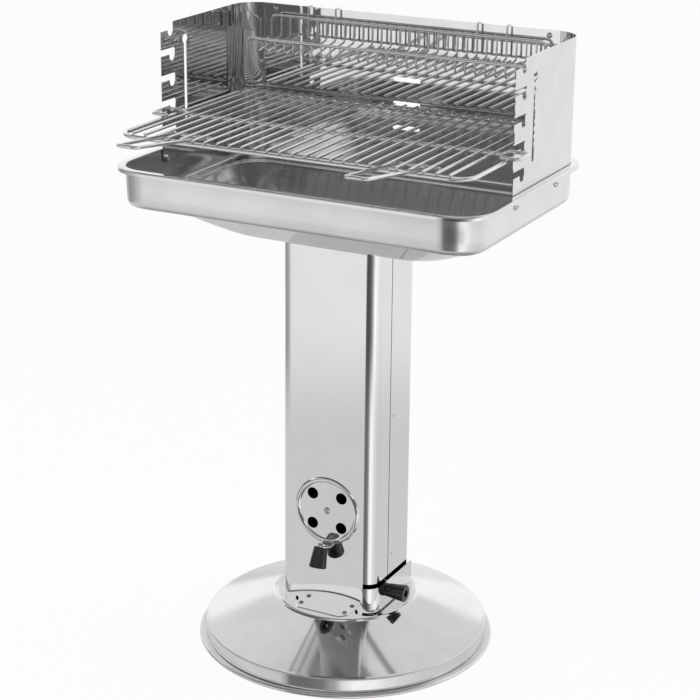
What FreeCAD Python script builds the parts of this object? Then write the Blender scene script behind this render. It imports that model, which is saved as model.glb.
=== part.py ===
import FreeCAD, Part
import math
import os

# Free-standing charcoal barbecue on a square column, in millimetres.
# The origin is on the floor, on the column's axis. +X is to the right along the
# fire bowl's long side, -Y is the front, +Z is up.

Vec = FreeCAD.Vector
X_AXIS = Vec(1, 0, 0)
Y_AXIS = Vec(0, 1, 0)
Z_AXIS = Vec(0, 0, 1)

# Fits
rest_gap = 0.3            # between pieces that lie against each other
pin_gap = 0.05            # radial, between a screw and its hole
weld_sink = 0.3           # how far two welded wires are pressed together
past = 1.0                # how far a cutter runs past the face that it cuts
slot_end_flat = 0.05      # flat left at the middle of a slot's round end, each side

# Base, spun from one sheet
base_sheet = 1.2
base_radius = 200.0
rim_width = 8.0
rim_height = 5.0
rim_round = 2.2
skirt_inset = 1.4
skirt_top = 21.5
skirt_bend = 2.0
shoulder_bead = 1.6
shoulder_bend = 1.5
cone_foot_inset = 3.6
cone_foot_height = 24.5
cone_bend = 4.0
cone_top_drop = 1.0
seat_bead_flank = 3.0         # each side of the bead round the seat
seat_bead_height = 1.3
seat_margin = 4.71            # flat left round the corners of the column's feet
seat_height = 60.0
runner_half_length = 50.0     # ribs pressed up in the seat, which the ash drawer slides on
runner_half_width = 4.0
runner_y = 30.0

# Column, folded from two sheets
column_sheet = 1.0
column_half_width = 69.4
column_half_depth = 55.6
column_corner = 16.0
seam_y = -14.5
seam_slit = 0.4
tongue_length = 18.0
seam_screw_heights = (131.5, 329.5)
seam_screw_setback = 8.0

# Feet and head flanges of the column
foot_half_width = 40.0
foot_length = 26.0
foot_chamfer = 9.0
foot_relief_radius = 2.2
foot_relief_offset = 5.0
foot_screw_x = 33.0
foot_screw_reach = 12.0
head_half_width = 44.0
head_length = 13.0
head_screw_x = 34.0
head_screw_reach = 8.5

# Air vent on the column's front
vent_height = 198.0
vent_radius = 46.5
vent_sheet = 1.0
vent_ring_width = 4.5
vent_ring_rise = 1.6
vent_ring_flank = 1.4
vent_ring_foot_bend = 1.2
vent_ring_top_bend = 0.6
vent_hole_radius = 8.0
vent_hole_circle = 30.0
vent_hole_count = 4
vent_tab_width = 18.0
vent_tab_drop = 5.0
vent_tab_length = 28.0
vent_tab_tilt = 20.0
vent_tab_bend = 2.0
vent_knob_reach = 17.0

# Ash drawer in the column's foot
drawer_sheet = 0.8
drawer_height = 31.0
drawer_side_gap = 4.0
drawer_corner = 8.0
drawer_opening_rear_inset = 5.6
drawer_opening_front_inset = 15.4
drawer_opening_height = 43.0
drawer_face_sheet = 1.0
drawer_face_gap = 2.0
drawer_face_bottom_gap = 2.2
drawer_face_height = 35.0
drawer_face_rear_inset = 1.6
drawer_face_front_inset = 17.4
drawer_handle_y = -20.0
drawer_handle_height = 84.0

# Tapered heat-proof knob, used on the vent and the drawer
knob_length = 28.0
knob_root_radius = 8.0
knob_end_radius = 11.0
knob_end_round = 1.5
knob_recess_radius = 5.0
knob_recess_depth = 12.0

# Fire bowl, deep drawn
bowl_sheet = 1.0
bowl_half_width = 258.5
bowl_half_depth = 176.5
bowl_corner = 48.0
bowl_rim_height = 658.0
bowl_wall_depth = 52.0
lip_width = 9.5
lip_skirt = 7.0
lip_round = 2.5
bowl_wall_draft = 2.0
ledge_end_width = 20.0
ledge_side_width = 35.0
ledge_corner = 46.0
hopper_depth = 48.0
hopper_half_width = 160.0
hopper_past_column = 4.4
hopper_corner = 42.0
hopper_end_bend = 110.0
hopper_step_count = 5
head_clearance = 1.0      # flat left round the heads of the bowl's screws
ledge_bend = 8.0
slope_bend = 14.0
throat_half_width = 48.0
throat_side_gap = 3.3         # between the ash grate's edge and the screws' heads
throat_corner = 8.0

# Loose ash grate over the throat
grate_sheet = 1.5
grate_margin = 9.0
grate_upstand = 6.0
grate_slot_width = 6.0
grate_slot_half_length = 28.0
grate_slot_count = 8
grate_slot_pitch = 11.0

# Windshield around the back of the bowl
shield_sheet = 1.0
shield_front = -54.0
shield_sink = 17.0            # how deep it stands in the bowl
shield_height = 179.0
shield_step_drop = 10.0
shield_lap = 29.5             # how far the sides' ends reach behind the rear wall
shield_rear_past_bend = 4.0
shield_bolt_rise = 4.5
shield_bolt_front_setback = 8.0
shield_bolt_rear_y = 81.7
shield_joint_rise = 31.0
shield_joint_drop = 7.0

# Notches in the sides, which hold the cooking grid
hook_count = 4
hook_pitch = 33.2
hook_top_drop = 50.7
hook_width = 13.0
hook_rear = -21.0
hook_mouth_rise = 9.0
hook_mouth_height = 8.0
hooks_above_grid_count = 2

# Other cut-outs of the windshield
spit_notch_front = -37.0
spit_notch_rear = -24.5
spit_notch_drop = 18.0
keyhole_y = 4.5
keyhole_radius = 6.2
keyhole_drop = 27.0
keyhole_slot_width = 6.0
keyhole_slot_length = 105.0
rear_slot_half_length = 20.0
rear_slot_height = 5.8
rear_slot_count = 3
rear_slot_drop = 85.0
rear_slot_pitch = 32.5

# Cooking grid
grid_side_gap = 7.05
grid_front_overhang = 1.5
grid_rear_setback = 19.75
grid_corner = 20.0
grid_frame_radius = 3.0
grid_bar_radius = 2.0
grid_bar_count = 26
grid_bar_end_gap = 22.25
grid_bar_overhang = 2.0
grid_bar_nose = 5.0
grid_cross_radius = 2.5
grid_ear_overhang = 21.95
grid_ear_length = 35.5
grid_ear_turn = 8.0
grid_ear_bend = 6.0
grid_ear_inset = 6.0
grid_ear_ramp = 11.0
grid_handle_radius = 2.5
grid_handle_root_setback = 46.0
grid_handle_length = 99.0
grid_handle_rise = 11.0
grid_handle_bend = 11.0
grid_handle_slow_bend = 30.0
grid_handle_start = 8.0
grid_handle_start_count = 8
grid_handle_gap_count = 2
grid_root_radius = 2.0
grid_root_overhang = 6.0

# Warming rack, hung on the rear wall
rack_bar_radius = 2.0
rack_wire_radius = 1.25
rack_wire_count = 28
rack_wire_end_gap = 13.7
rack_hook_counts = (7, 10)
rack_end_drop = 27.0
rack_end_bend = 8.0
rack_wall_gap = 8.0
rack_bar_drop = 14.0
rack_floor_rear_drop = 41.0
rack_floor_front_drop = 53.0
rack_front_drop = 34.5
rack_depth = 70.0
rack_hook_drop = 14.0

# Fasteners: shank radius, head radius, head height
small_screw = (2.0, 3.8, 2.2)
bolt = (2.5, 4.8, 2.8)
nut_height = 3.2
nut_corner_share = 1.9    # a nut's corner radius as a share of the shank's radius
screw_point = 3.0         # how far a sheet-metal screw comes out of its sheets

# Places worked out from the sizes above
skirt_radius = base_radius - rim_width - skirt_inset
cone_foot_radius = skirt_radius - cone_foot_inset
foot_corner_radius = math.hypot(foot_half_width - foot_chamfer, column_half_depth + foot_length)
seat_radius = foot_corner_radius + seat_margin
seat_bead_radius = seat_radius + seat_bead_flank
cone_top_radius = seat_bead_radius + seat_bead_flank
column_front = -column_half_depth
wall_half_width = bowl_half_width - lip_width
wall_half_depth = bowl_half_depth - lip_width
wall_corner = bowl_corner - lip_width
ledge_height = bowl_rim_height - bowl_wall_depth
ledge_half_width = wall_half_width - ledge_end_width
ledge_half_depth = wall_half_depth - ledge_side_width
hopper_height = ledge_height - hopper_depth
hopper_half_depth = column_half_depth + hopper_past_column
column_top = hopper_height
head_screw_y = column_half_depth - column_sheet - head_screw_reach
head_flat = head_screw_y + small_screw[1] + head_clearance
throat_half_depth = head_screw_y - small_screw[1] - throat_side_gap - grate_margin
hopper_side_angle = math.atan2(hopper_depth, ledge_half_depth - hopper_half_depth)
hopper_side_bend = (hopper_half_depth - head_flat) / math.tan(hopper_side_angle / 2)


def wall_inset(height):
    # how far the bowl's wall has drawn in at this height
    return bowl_wall_draft * (bowl_rim_height - height) / bowl_wall_depth


shield_bottom = bowl_rim_height - shield_sink
shield_top = shield_bottom + shield_height
shield_step_top = shield_top - shield_step_drop
shield_bolt_height = shield_bottom + shield_bolt_rise
shield_joint_heights = (shield_bottom + shield_joint_rise, shield_top - shield_joint_drop)
shield_inset = bowl_sheet + wall_inset(shield_bottom) + rest_gap
shield_half_width = wall_half_width - shield_inset
shield_half_depth = wall_half_depth - shield_inset
shield_corner = wall_corner - shield_inset
shield_rear_half_width = shield_half_width - shield_corner + shield_rear_past_bend
shield_flap_end = shield_rear_half_width - shield_lap
shield_joint_x = shield_rear_half_width - shield_lap / 2
rear_wall_back = shield_half_depth - shield_sheet - rest_gap
rear_wall_front = rear_wall_back - shield_sheet
joint_grip = 2 * shield_sheet + rest_gap
foot_grip = column_sheet + base_sheet + screw_point
seam_grip = 2 * column_sheet + rest_gap + screw_point
bowl_bolt_reach = 2 * shield_sheet + shield_inset + lip_width / 2
hook_top_bottom = shield_top - hook_top_drop
spit_notch_bottom = shield_top - spit_notch_drop
keyhole_height = shield_top - keyhole_drop
keyhole_slot_bottom = keyhole_height - keyhole_slot_length
rear_slot_levels = [shield_top - rear_slot_drop - i * rear_slot_pitch for i in range(rear_slot_count)]
grid_half_width = shield_half_width - shield_sheet - grid_side_gap - grid_frame_radius
grid_front = -bowl_half_depth - grid_front_overhang
grid_rear = rear_wall_front - grid_rear_setback
grid_bar_pitch = 2 * (grid_half_width - grid_bar_end_gap) / (grid_bar_count - 1)
grid_ear_reach = shield_half_width + grid_ear_overhang
grid_ear_inner = grid_half_width - grid_ear_inset
grid_ear_rear = hook_rear - hook_width / 2
grid_ear_front = grid_ear_rear - grid_ear_length
grid_handle_root = grid_front + grid_handle_root_setback
grid_handle_tip = grid_front - grid_handle_length
ear_height = hook_top_bottom - hooks_above_grid_count * hook_pitch + rest_gap + grid_cross_radius
grid_frame_height = ear_height - grid_cross_radius - grid_frame_radius + weld_sink
grid_bar_height = grid_frame_height + grid_frame_radius + grid_bar_radius - weld_sink
grid_cross_height = grid_bar_height - grid_bar_radius - grid_cross_radius + weld_sink
rack_half_width = shield_joint_x
rack_wire_pitch = 2 * (rack_half_width - rack_wire_end_gap) / (rack_wire_count - 1)
rack_bar_height = shield_top - rack_bar_drop
rack_floor_rear = shield_top - rack_floor_rear_drop
rack_floor_front = shield_top - rack_floor_front_drop
rack_front_height = shield_top - rack_front_drop
rack_wire_y = rear_wall_front - rack_wall_gap
rack_front_y = rack_wire_y - rack_depth
drawer_opening_rear = column_half_depth - drawer_opening_rear_inset
drawer_opening_front_x = column_half_width - drawer_opening_front_inset
drawer_face_rear = column_half_depth - drawer_face_rear_inset
drawer_face_front_x = column_half_width - drawer_face_front_inset
drawer_face_x = column_half_width + drawer_face_gap
drawer_face_bottom = seat_height + drawer_face_bottom_gap
drawer_end_x = drawer_face_x - rest_gap
drawer_bottom = seat_height + seat_bead_height + rest_gap
drawer_front_corner = column_corner - column_sheet - drawer_side_gap
knob_screw_seat = knob_length - knob_recess_depth


def rounded_edges(points, radii, closed):
    # straight runs joined by tangent arcs
    count = len(points)
    enter, middle, leave = [], [], []
    for i, point in enumerate(points):
        at_end = not closed and i in (0, count - 1)
        if at_end or radii[i] <= 0:
            enter.append(point)
            middle.append(None)
            leave.append(point)
            continue
        back = (points[i - 1] - point).normalize()
        ahead = (points[(i + 1) % count] - point).normalize()
        half = back.getAngle(ahead) / 2
        cut = radii[i] / math.tan(half)
        inward = (back + ahead).normalize()
        enter.append(point + back * cut)
        middle.append(point + inward * (radii[i] / math.sin(half) - radii[i]))
        leave.append(point + ahead * cut)
    edges = []
    for i in range(count):
        if middle[i] is not None:
            edges.append(Part.Arc(enter[i], middle[i], leave[i]).toShape())
        if i == count - 1 and not closed:
            break
        following = enter[(i + 1) % count]
        if leave[i].distanceToPoint(following) > 1e-6:
            edges.append(Part.LineSegment(leave[i], following).toShape())
    return edges


def outline(points, radii=None, closed=True):
    return Part.Wire(rounded_edges(points, radii or [0] * len(points), closed))


def prism(points, travel, radii=None):
    return Part.Face(outline(points, radii)).extrude(travel)


def offset_line(points, distance):
    # the same line moved to the left of its direction, all in one plane
    moved = []
    for i, (u, v) in enumerate(points):
        normals = []
        for a, b in ((i - 1, i), (i, i + 1)):
            if a < 0 or b >= len(points):
                continue
            du = points[b][0] - points[a][0]
            dv = points[b][1] - points[a][1]
            size = math.hypot(du, dv)
            normals.append((-dv / size, du / size))
        nu = sum(n[0] for n in normals)
        nv = sum(n[1] for n in normals)
        reach = distance * 2 / (nu * nu + nv * nv) if len(normals) == 2 else distance
        moved.append((u + nu * reach, v + nv * reach))
    return moved


def sheet_outline(points, bends, thickness, place):
    # closed outline of a bent sheet: the line, and the line offset to its left
    inner = offset_line(points, thickness)
    near, far = [], []
    for i, bend in enumerate(bends):
        near.append(bend)
        far.append(0)
        if bend and 0 < i < len(points) - 1:
            (au, av), (bu, bv), (cu, cv) = points[i - 1], points[i], points[i + 1]
            turn = (bu - au) * (cv - bv) - (bv - av) * (cu - bu)
            far[-1] = max(bend - thickness, 0) if turn > 0 else bend + thickness
    loop = [place(u, v) for u, v in points] + [place(u, v) for u, v in reversed(inner)]
    return outline(loop, near + far[::-1])


def on_floor(height):
    return lambda u, v: Vec(u, v, height)


def rounded_rectangle(half_width, half_depth, corner, height):
    points = [Vec(half_width, -half_depth, height), Vec(half_width, half_depth, height),
              Vec(-half_width, half_depth, height), Vec(-half_width, -half_depth, height)]
    return outline(points, [corner] * 4)


def rounded_block(half_width, half_depth, corner, low, high):
    face = Part.Face(rounded_rectangle(half_width, half_depth, corner, low))
    return face.extrude(Z_AXIS * (high - low))


def block(low, high):
    size = Vec(*high) - Vec(*low)
    return Part.makeBox(size.x, size.y, size.z, Vec(*low))


def cylinder(radius, start, direction, length):
    return Part.makeCylinder(radius, length, start, direction)


def mirrored(shape):
    return shape.mirror(Vec(0, 0, 0), X_AXIS)


def stand_at(shape, place, direction):
    # turns a shape made along +Z to point along direction, and moves it there
    shape = shape.copy()
    shape.Placement = FreeCAD.Placement(place, FreeCAD.Rotation(Z_AXIS, direction))
    return shape


def rod(points, radius, bends=None, closed=False):
    # round wire along straight runs, with mitred corners where no bend is given
    spine = outline(points, bends, closed)
    start = points[0]
    ahead = points[1] - points[0]
    if closed:
        start = (points[0] + points[1]) * 0.5
        half = [start] + points[1:] + [points[0], start]
        spine = outline(half, [0] + bends[1:] + [bends[0], 0], False)
    ring = Part.Wire(Part.Circle(start, ahead, radius).toShape())
    corner = 0 if bends else 1
    return spine.makePipeShell([ring], True, False, corner)


def save(node, *shapes):
    solids = [solid for shape in shapes for solid in shape.Solids]
    whole = solids[0] if len(solids) == 1 else Part.makeCompound(solids)
    whole.exportStep(os.path.join("parts", node + ".step"))


# Fasteners are made along +Z: the head stands on z = 0, the shank runs down.

def screw(kind, length):
    shank_radius, head_radius, head_height = kind
    crown = (head_radius ** 2 + head_height ** 2) / (2 * head_height)
    dome = Part.makeSphere(crown, Vec(0, 0, head_height - crown))
    head = cylinder(head_radius, Vec(0, 0, 0), Z_AXIS, head_height).common(dome)
    shank = cylinder(shank_radius, Vec(0, 0, -length), Z_AXIS, length)
    return head.fuse(shank).removeSplitter()


def nut(kind):
    shank_radius = kind[0]
    corner_radius = shank_radius * nut_corner_share
    corners = []
    for i in range(6):
        angle = math.radians(60 * i)
        corners.append(Vec(corner_radius * math.cos(angle), corner_radius * math.sin(angle), 0))
    body = prism(corners, Z_AXIS * nut_height)
    return body.cut(cylinder(shank_radius + pin_gap, Vec(0, 0, -past), Z_AXIS, nut_height + 2 * past))


def hole(kind, place, direction, length):
    return cylinder(kind[0] + pin_gap, place, direction, length)


def fasten(places, direction, length, kind):
    # screws with their heads on the given places, pointing against direction
    return [stand_at(screw(kind, length), place, direction) for place in places]


def nuts_at(places, direction, kind):
    return [stand_at(nut(kind), place, direction) for place in places]


def knob():
    # made along +Z from its root, with a recess for the screw in its free end
    profile = [Vec(0, 0, 0), Vec(knob_root_radius, 0, 0), Vec(knob_end_radius, 0, knob_length),
               Vec(0, 0, knob_length)]
    body = Part.Face(outline(profile, [0, knob_end_round, knob_end_round, 0]))
    body = body.revolve(Vec(0, 0, 0), Z_AXIS, 360)
    recess = cylinder(knob_recess_radius, Vec(0, 0, knob_length - knob_recess_depth), Z_AXIS,
                      knob_recess_depth + past)
    return body.cut(recess).cut(hole(bolt, Vec(0, 0, -past), Z_AXIS, knob_length))


# Base

def make_base():
    line = [(skirt_radius + base_sheet, rim_height), (skirt_radius, skirt_top),
            (skirt_radius + shoulder_bead, skirt_top + shoulder_bead),
            (cone_foot_radius, cone_foot_height), (cone_top_radius, seat_height - cone_top_drop),
            (seat_bead_radius, seat_height + seat_bead_height), (seat_radius, seat_height),
            (0, seat_height)]
    bends = [0, skirt_bend, shoulder_bend, cone_bend, cone_bend, skirt_bend, shoulder_bend, 0]
    section = sheet_outline(line, bends, base_sheet, lambda u, v: Vec(u, 0, v))
    sheet = Part.Face(section).revolve(Vec(0, 0, 0), Z_AXIS, 360)
    rim = [Vec(base_radius - rim_width, 0, 0), Vec(base_radius, 0, 0),
           Vec(base_radius, 0, rim_height), Vec(base_radius - rim_width - base_sheet, 0, rim_height),
           Vec(base_radius - rim_width - base_sheet, 0, rim_round)]
    ring = Part.Face(outline(rim, [0, rim_round, rim_round, 0, 0])).revolve(Vec(0, 0, 0), Z_AXIS, 360)
    base = sheet.fuse(ring).removeSplitter()
    for side in (-1, 1):
        base = base.fuse(runner(side, 0)).cut(runner(side, base_sheet))
    for place in foot_screw_places():
        base = base.cut(hole(small_screw, place - Z_AXIS * foot_grip, Z_AXIS, foot_grip))
    return base


def runner(side, wall):
    # a rib pressed up in the seat, or the hollow under it one sheet thickness inside
    under = past if wall else 0
    form = rounded_block(runner_half_length - wall, runner_half_width - wall,
                         runner_half_width - wall - slot_end_flat,
                         seat_height - base_sheet - under, seat_height + seat_bead_height - wall)
    form.translate(Y_AXIS * side * runner_y)
    return form


def foot_screw_places():
    y = column_half_depth + foot_screw_reach
    top = seat_height + column_sheet
    return [Vec(side_x * foot_screw_x, side_y * y, top) for side_x in (-1, 1) for side_y in (-1, 1)]


# Column

def column_tube():
    outer = rounded_block(column_half_width, column_half_depth, column_corner,
                          seat_height, column_top)
    inner = rounded_block(column_half_width - column_sheet, column_half_depth - column_sheet,
                          column_corner - column_sheet, seat_height - past, column_top + past)
    return outer.cut(inner)


def column_part(low_y, high_y):
    reach = column_half_width + past
    return column_tube().common(block((-reach, low_y, 0), (reach, high_y, column_top + past)))


def foot_flange(side):
    # side is -1 at the front and 1 at the back
    near = side * (column_half_depth - column_sheet)
    far = side * (column_half_depth + foot_length)
    cut = far - side * foot_chamfer
    inset = foot_half_width - foot_chamfer
    points = [Vec(-foot_half_width, near, seat_height), Vec(-foot_half_width, cut, seat_height),
              Vec(-inset, far, seat_height), Vec(inset, far, seat_height),
              Vec(foot_half_width, cut, seat_height), Vec(foot_half_width, near, seat_height)]
    return prism(points, Z_AXIS * column_sheet)


def head_flange(side):
    near = side * (column_half_depth - column_sheet / 2)
    far = side * (column_half_depth - column_sheet - head_length)
    low, high = min(near, far), max(near, far)
    return block((-head_half_width, low, column_top - column_sheet),
                 (head_half_width, high, column_top))


def seam_tongue():
    # the front shell's edge steps in and runs behind the rear shell's edge
    outside = column_half_width - column_sheet
    inside = outside - rest_gap - column_sheet
    root = block((inside, seam_y - tongue_length / 2, seat_height),
                 (outside, seam_y, column_top - column_sheet - past))
    tongue = block((inside, seam_y - past, seat_height),
                   (inside + column_sheet, seam_y + tongue_length, column_top - column_sheet - past))
    return root.fuse(tongue)


def drawer_opening():
    top = seat_height + drawer_opening_height
    reach = column_half_width + past
    side = block((column_half_width - column_corner, -column_half_depth, seat_height - past),
                 (reach, drawer_opening_rear, top))
    front = block((drawer_opening_front_x, -column_half_depth - past, seat_height - past),
                  (reach, 0, top))
    return side.fuse(front)


def relief_holes(side):
    x = foot_half_width + foot_relief_offset
    start = side * (column_half_depth - column_sheet - past)
    cuts = []
    for sign in (-1, 1):
        place = Vec(sign * x, start, seat_height + foot_relief_radius / 2)
        cuts.append(cylinder(foot_relief_radius, place, Y_AXIS * side, column_sheet + 2 * past))
    return cuts


def seam_screw_places():
    y = seam_y + seam_screw_setback
    return [Vec(sign * column_half_width, y, z) for sign in (-1, 1) for z in seam_screw_heights]


def column_fastener_holes():
    cuts = []
    for place in seam_screw_places():
        direction = X_AXIS if place.x > 0 else -X_AXIS
        cuts.append(hole(small_screw, place - direction * seam_grip, direction, seam_grip + past))
    for place in foot_screw_places() + head_screw_places():
        cuts.append(hole(small_screw, place - Z_AXIS * foot_grip, Z_AXIS, foot_grip + past))
    return cuts


def head_screw_places():
    top = hopper_height + bowl_sheet
    return [Vec(side_x * head_screw_x, side_y * head_screw_y, top) for side_x in (-1, 1) for side_y in (-1, 1)]


def vent_hole_places(y):
    places = []
    for i in range(vent_hole_count):
        angle = math.radians(360 * (i + 0.5) / vent_hole_count)
        places.append(Vec(vent_hole_circle * math.cos(angle), y,
                          vent_height + vent_hole_circle * math.sin(angle)))
    return places


def make_column():
    front = column_part(-column_half_depth - past, seam_y)
    front = front.fuse([foot_flange(-1), head_flange(-1), seam_tongue(), mirrored(seam_tongue())])
    rear = column_part(seam_y + seam_slit, column_half_depth + past)
    rear = rear.fuse([foot_flange(1), head_flange(1)])
    cuts = column_fastener_holes() + [drawer_opening()]
    depth = column_sheet + 2 * past
    for place in vent_hole_places(column_front - past):
        cuts.append(cylinder(vent_hole_radius, place, Y_AXIS, depth))
    cuts.append(hole(bolt, Vec(0, column_front - past, vent_height), Y_AXIS, depth))
    front = front.cut(cuts + relief_holes(-1)).removeSplitter()
    rear = rear.cut(cuts + relief_holes(1)).removeSplitter()
    return front, rear


# Air vent

def make_vent_disc():
    # made about +Z, then stood on the column's front with +Z forwards
    ring_inner = vent_radius - vent_ring_width - vent_ring_flank
    line = [(0, 0), (ring_inner, 0), (ring_inner + vent_ring_flank, vent_ring_rise),
            (vent_radius, vent_ring_rise)]
    section = sheet_outline(line, [0, vent_ring_foot_bend, vent_ring_top_bend, 0], vent_sheet, lambda u, v: Vec(u, 0, v))
    disc = Part.Face(section).revolve(Vec(0, 0, 0), Z_AXIS, 360)
    for place in vent_hole_places(0):
        disc = disc.cut(cylinder(vent_hole_radius, Vec(place.x, place.z - vent_height, -past),
                                 Z_AXIS, vent_sheet + 2 * past))
    disc = disc.cut(hole(bolt, Vec(0, 0, -past), Z_AXIS, vent_sheet + 2 * past))
    tilt = math.radians(vent_tab_tilt)
    drop = -vent_radius - vent_tab_drop
    root = -vent_radius + vent_ring_width / 2
    rise = vent_ring_rise
    line = [(root, rise), (drop, rise),
            (drop + vent_tab_length * math.sin(tilt), rise + vent_tab_length * math.cos(tilt))]
    section = sheet_outline(line, [0, vent_tab_bend, 0], -vent_sheet,
                            lambda u, v: Vec(-vent_tab_width / 2, u, v))
    tab = Part.Face(section).extrude(X_AXIS * vent_tab_width)
    start = Vec(0, drop + vent_knob_reach * math.sin(tilt), rise + vent_knob_reach * math.cos(tilt))
    across = Vec(0, -math.cos(tilt), math.sin(tilt))
    tab = tab.cut(hole(bolt, start + across * past, -across, vent_sheet + 2 * past))
    return disc.fuse(tab).removeSplitter(), start, across


def on_column_front(shape):
    # +Z of the shape points to the front, and its +Y points up
    shape = shape.copy()
    turn = FreeCAD.Rotation(X_AXIS, 90)
    shape.Placement = FreeCAD.Placement(Vec(0, column_front - rest_gap, vent_height), turn)
    return shape


def make_vent():
    disc, start, across = make_vent_disc()
    turn = FreeCAD.Rotation(X_AXIS, 90)
    origin = Vec(0, column_front - rest_gap, vent_height)
    outward = turn.multVec(across)
    seat = origin + turn.multVec(start)
    handle = stand_at(knob(), seat, outward)
    head = seat + outward * knob_screw_seat
    length = knob_screw_seat + vent_sheet + nut_height + past
    handle_screw = stand_at(screw(bolt, length), head, outward)
    handle_nut = stand_at(nut(bolt), seat - outward * vent_sheet, -outward)
    front_of_disc = Vec(0, column_front - rest_gap - vent_sheet, vent_height)
    pivot_length = vent_sheet + rest_gap + column_sheet + nut_height + past
    pivot = stand_at(screw(bolt, pivot_length), front_of_disc - Y_AXIS * pin_gap, -Y_AXIS)
    pivot_nut = stand_at(nut(bolt), Vec(0, column_front + column_sheet, vent_height), Y_AXIS)
    return on_column_front(disc), handle, handle_screw, handle_nut, pivot, pivot_nut


# Ash drawer

def make_drawer_tray():
    side = column_half_depth - column_sheet - drawer_side_gap
    left = -column_half_width + column_sheet + drawer_side_gap
    rear = drawer_opening_rear - drawer_side_gap
    low = drawer_bottom
    radii = [drawer_front_corner, drawer_corner, drawer_corner, drawer_corner]

    def pan(wall, bottom):
        corners = [Vec(drawer_end_x - wall, wall - side, bottom),
                   Vec(drawer_end_x - wall, rear - wall, bottom),
                   Vec(left + wall, rear - wall, bottom), Vec(left + wall, wall - side, bottom)]
        return prism(corners, Z_AXIS * drawer_height, [radius - wall for radius in radii])

    tray = pan(0, low).cut(pan(drawer_sheet, low + drawer_sheet))
    return tray.cut(handle_hole())


def handle_hole():
    start = Vec(drawer_end_x - drawer_sheet - past, drawer_handle_y, drawer_handle_height)
    return hole(bolt, start, X_AXIS, drawer_sheet + rest_gap + drawer_face_sheet + 2 * past)


def make_drawer_face():
    front = column_front - drawer_face_gap - drawer_face_sheet
    side = drawer_face_x + drawer_face_sheet
    corner = column_corner + drawer_face_gap + drawer_face_sheet
    line = [(drawer_face_front_x, front), (side, front), (side, drawer_face_rear)]
    section = sheet_outline(line, [0, corner, 0], drawer_face_sheet, on_floor(drawer_face_bottom))
    face = Part.Face(section).extrude(Z_AXIS * drawer_face_height)
    return face.cut(handle_hole())


def make_drawer_handle():
    seat = Vec(drawer_face_x + drawer_face_sheet, drawer_handle_y, drawer_handle_height)
    handle = stand_at(knob(), seat, X_AXIS)
    grip = drawer_face_sheet + rest_gap + drawer_sheet
    length = knob_screw_seat + grip + nut_height + past
    handle_screw = stand_at(screw(bolt, length), seat + X_AXIS * knob_screw_seat, X_AXIS)
    return handle, handle_screw, stand_at(nut(bolt), seat - X_AXIS * grip, -X_AXIS)


# Fire bowl

def bowl_body(thickness):
    # the solid form of the bowl's outer skin, or of its inner skin one sheet thickness inside
    over = past if thickness else 0
    top = rounded_rectangle(wall_half_width - thickness, wall_half_depth - thickness,
                            wall_corner - thickness, bowl_rim_height + over)
    draft = bowl_wall_draft + thickness
    ledge = ledge_height + thickness
    foot = rounded_rectangle(wall_half_width - draft, wall_half_depth - draft,
                             wall_corner - draft, ledge)
    wall = Part.makeLoft([foot, top], True, True)
    body = wall.fuse(hopper_form(thickness)).removeSplitter()
    body = round_level(body, ledge, ledge_half_width + past, ledge_bend - thickness)
    return round_level(body, ledge, 0, slope_bend + thickness)


def belly_run(rise, run, bend):
    # how far out a slope has come at this rise: a bend off the flat bottom, then straight
    angle = math.atan2(hopper_depth, run)
    start = -bend * math.tan(angle / 2)
    if rise < bend * (1 - math.cos(angle)):
        return start + math.sqrt(bend ** 2 - (bend - rise) ** 2)
    return rise * run / hopper_depth


def hopper_form(lift):
    # the slopes bend up gently from the flat bottom to the ledge
    run_x = ledge_half_width - hopper_half_width
    run_y = ledge_half_depth - hopper_half_depth
    end_angle = math.atan2(hopper_depth, run_x)
    rises = [hopper_end_bend * (1 - math.cos(end_angle * i / hopper_step_count))
             for i in range(hopper_step_count + 1)] + [hopper_depth]
    wires = []
    for rise in rises:
        corner = hopper_corner + (ledge_corner - hopper_corner) * rise / hopper_depth
        wires.append(rounded_rectangle(hopper_half_width + belly_run(rise, run_x, hopper_end_bend),
                                       hopper_half_depth + belly_run(rise, run_y, hopper_side_bend),
                                       corner, hopper_height + lift + rise))
    return Part.makeLoft(wires, True, True)


def round_level(shape, level, least_reach, radius):
    # fillets the edges that lie flat at this height and reach out that far
    chosen = []
    for edge in shape.Edges:
        box = edge.BoundBox
        flat = abs(box.ZMin - level) < 0.01 and abs(box.ZMax - level) < 0.01
        reach = max(abs(box.XMin), abs(box.XMax)) / ledge_half_width
        reach = max(reach, max(abs(box.YMin), abs(box.YMax)) / ledge_half_depth)
        if flat and reach * ledge_half_width >= least_reach:
            chosen.append(edge)
    return shape.makeFillet(radius, chosen)


def make_lip():
    # a rim turned outwards and down, open underneath
    def cover(wall, bottom):
        top = bowl_rim_height - wall
        body = rounded_block(bowl_half_width - wall, bowl_half_depth - wall, bowl_corner - wall,
                             bottom, top)
        upper = [edge for edge in body.Edges if edge.BoundBox.ZMin > top - 0.01]
        return body.makeFillet(lip_round - wall, upper)

    bottom = bowl_rim_height - lip_skirt
    return cover(0, bottom).cut(cover(bowl_sheet, bottom - past))


def make_bowl():
    bowl = bowl_body(0).fuse(make_lip()).cut(bowl_body(bowl_sheet))
    throat = rounded_block(throat_half_width, throat_half_depth, throat_corner,
                           hopper_height - past, hopper_height + bowl_sheet + past)
    cuts = [throat]
    for place in head_screw_places():
        cuts.append(hole(small_screw, place - Z_AXIS * foot_grip, Z_AXIS, foot_grip + past))
    for place, outward in shield_bolt_places():
        cuts.append(hole(bolt, place, outward, bowl_bolt_reach))
    return bowl.cut(cuts).removeSplitter()


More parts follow.
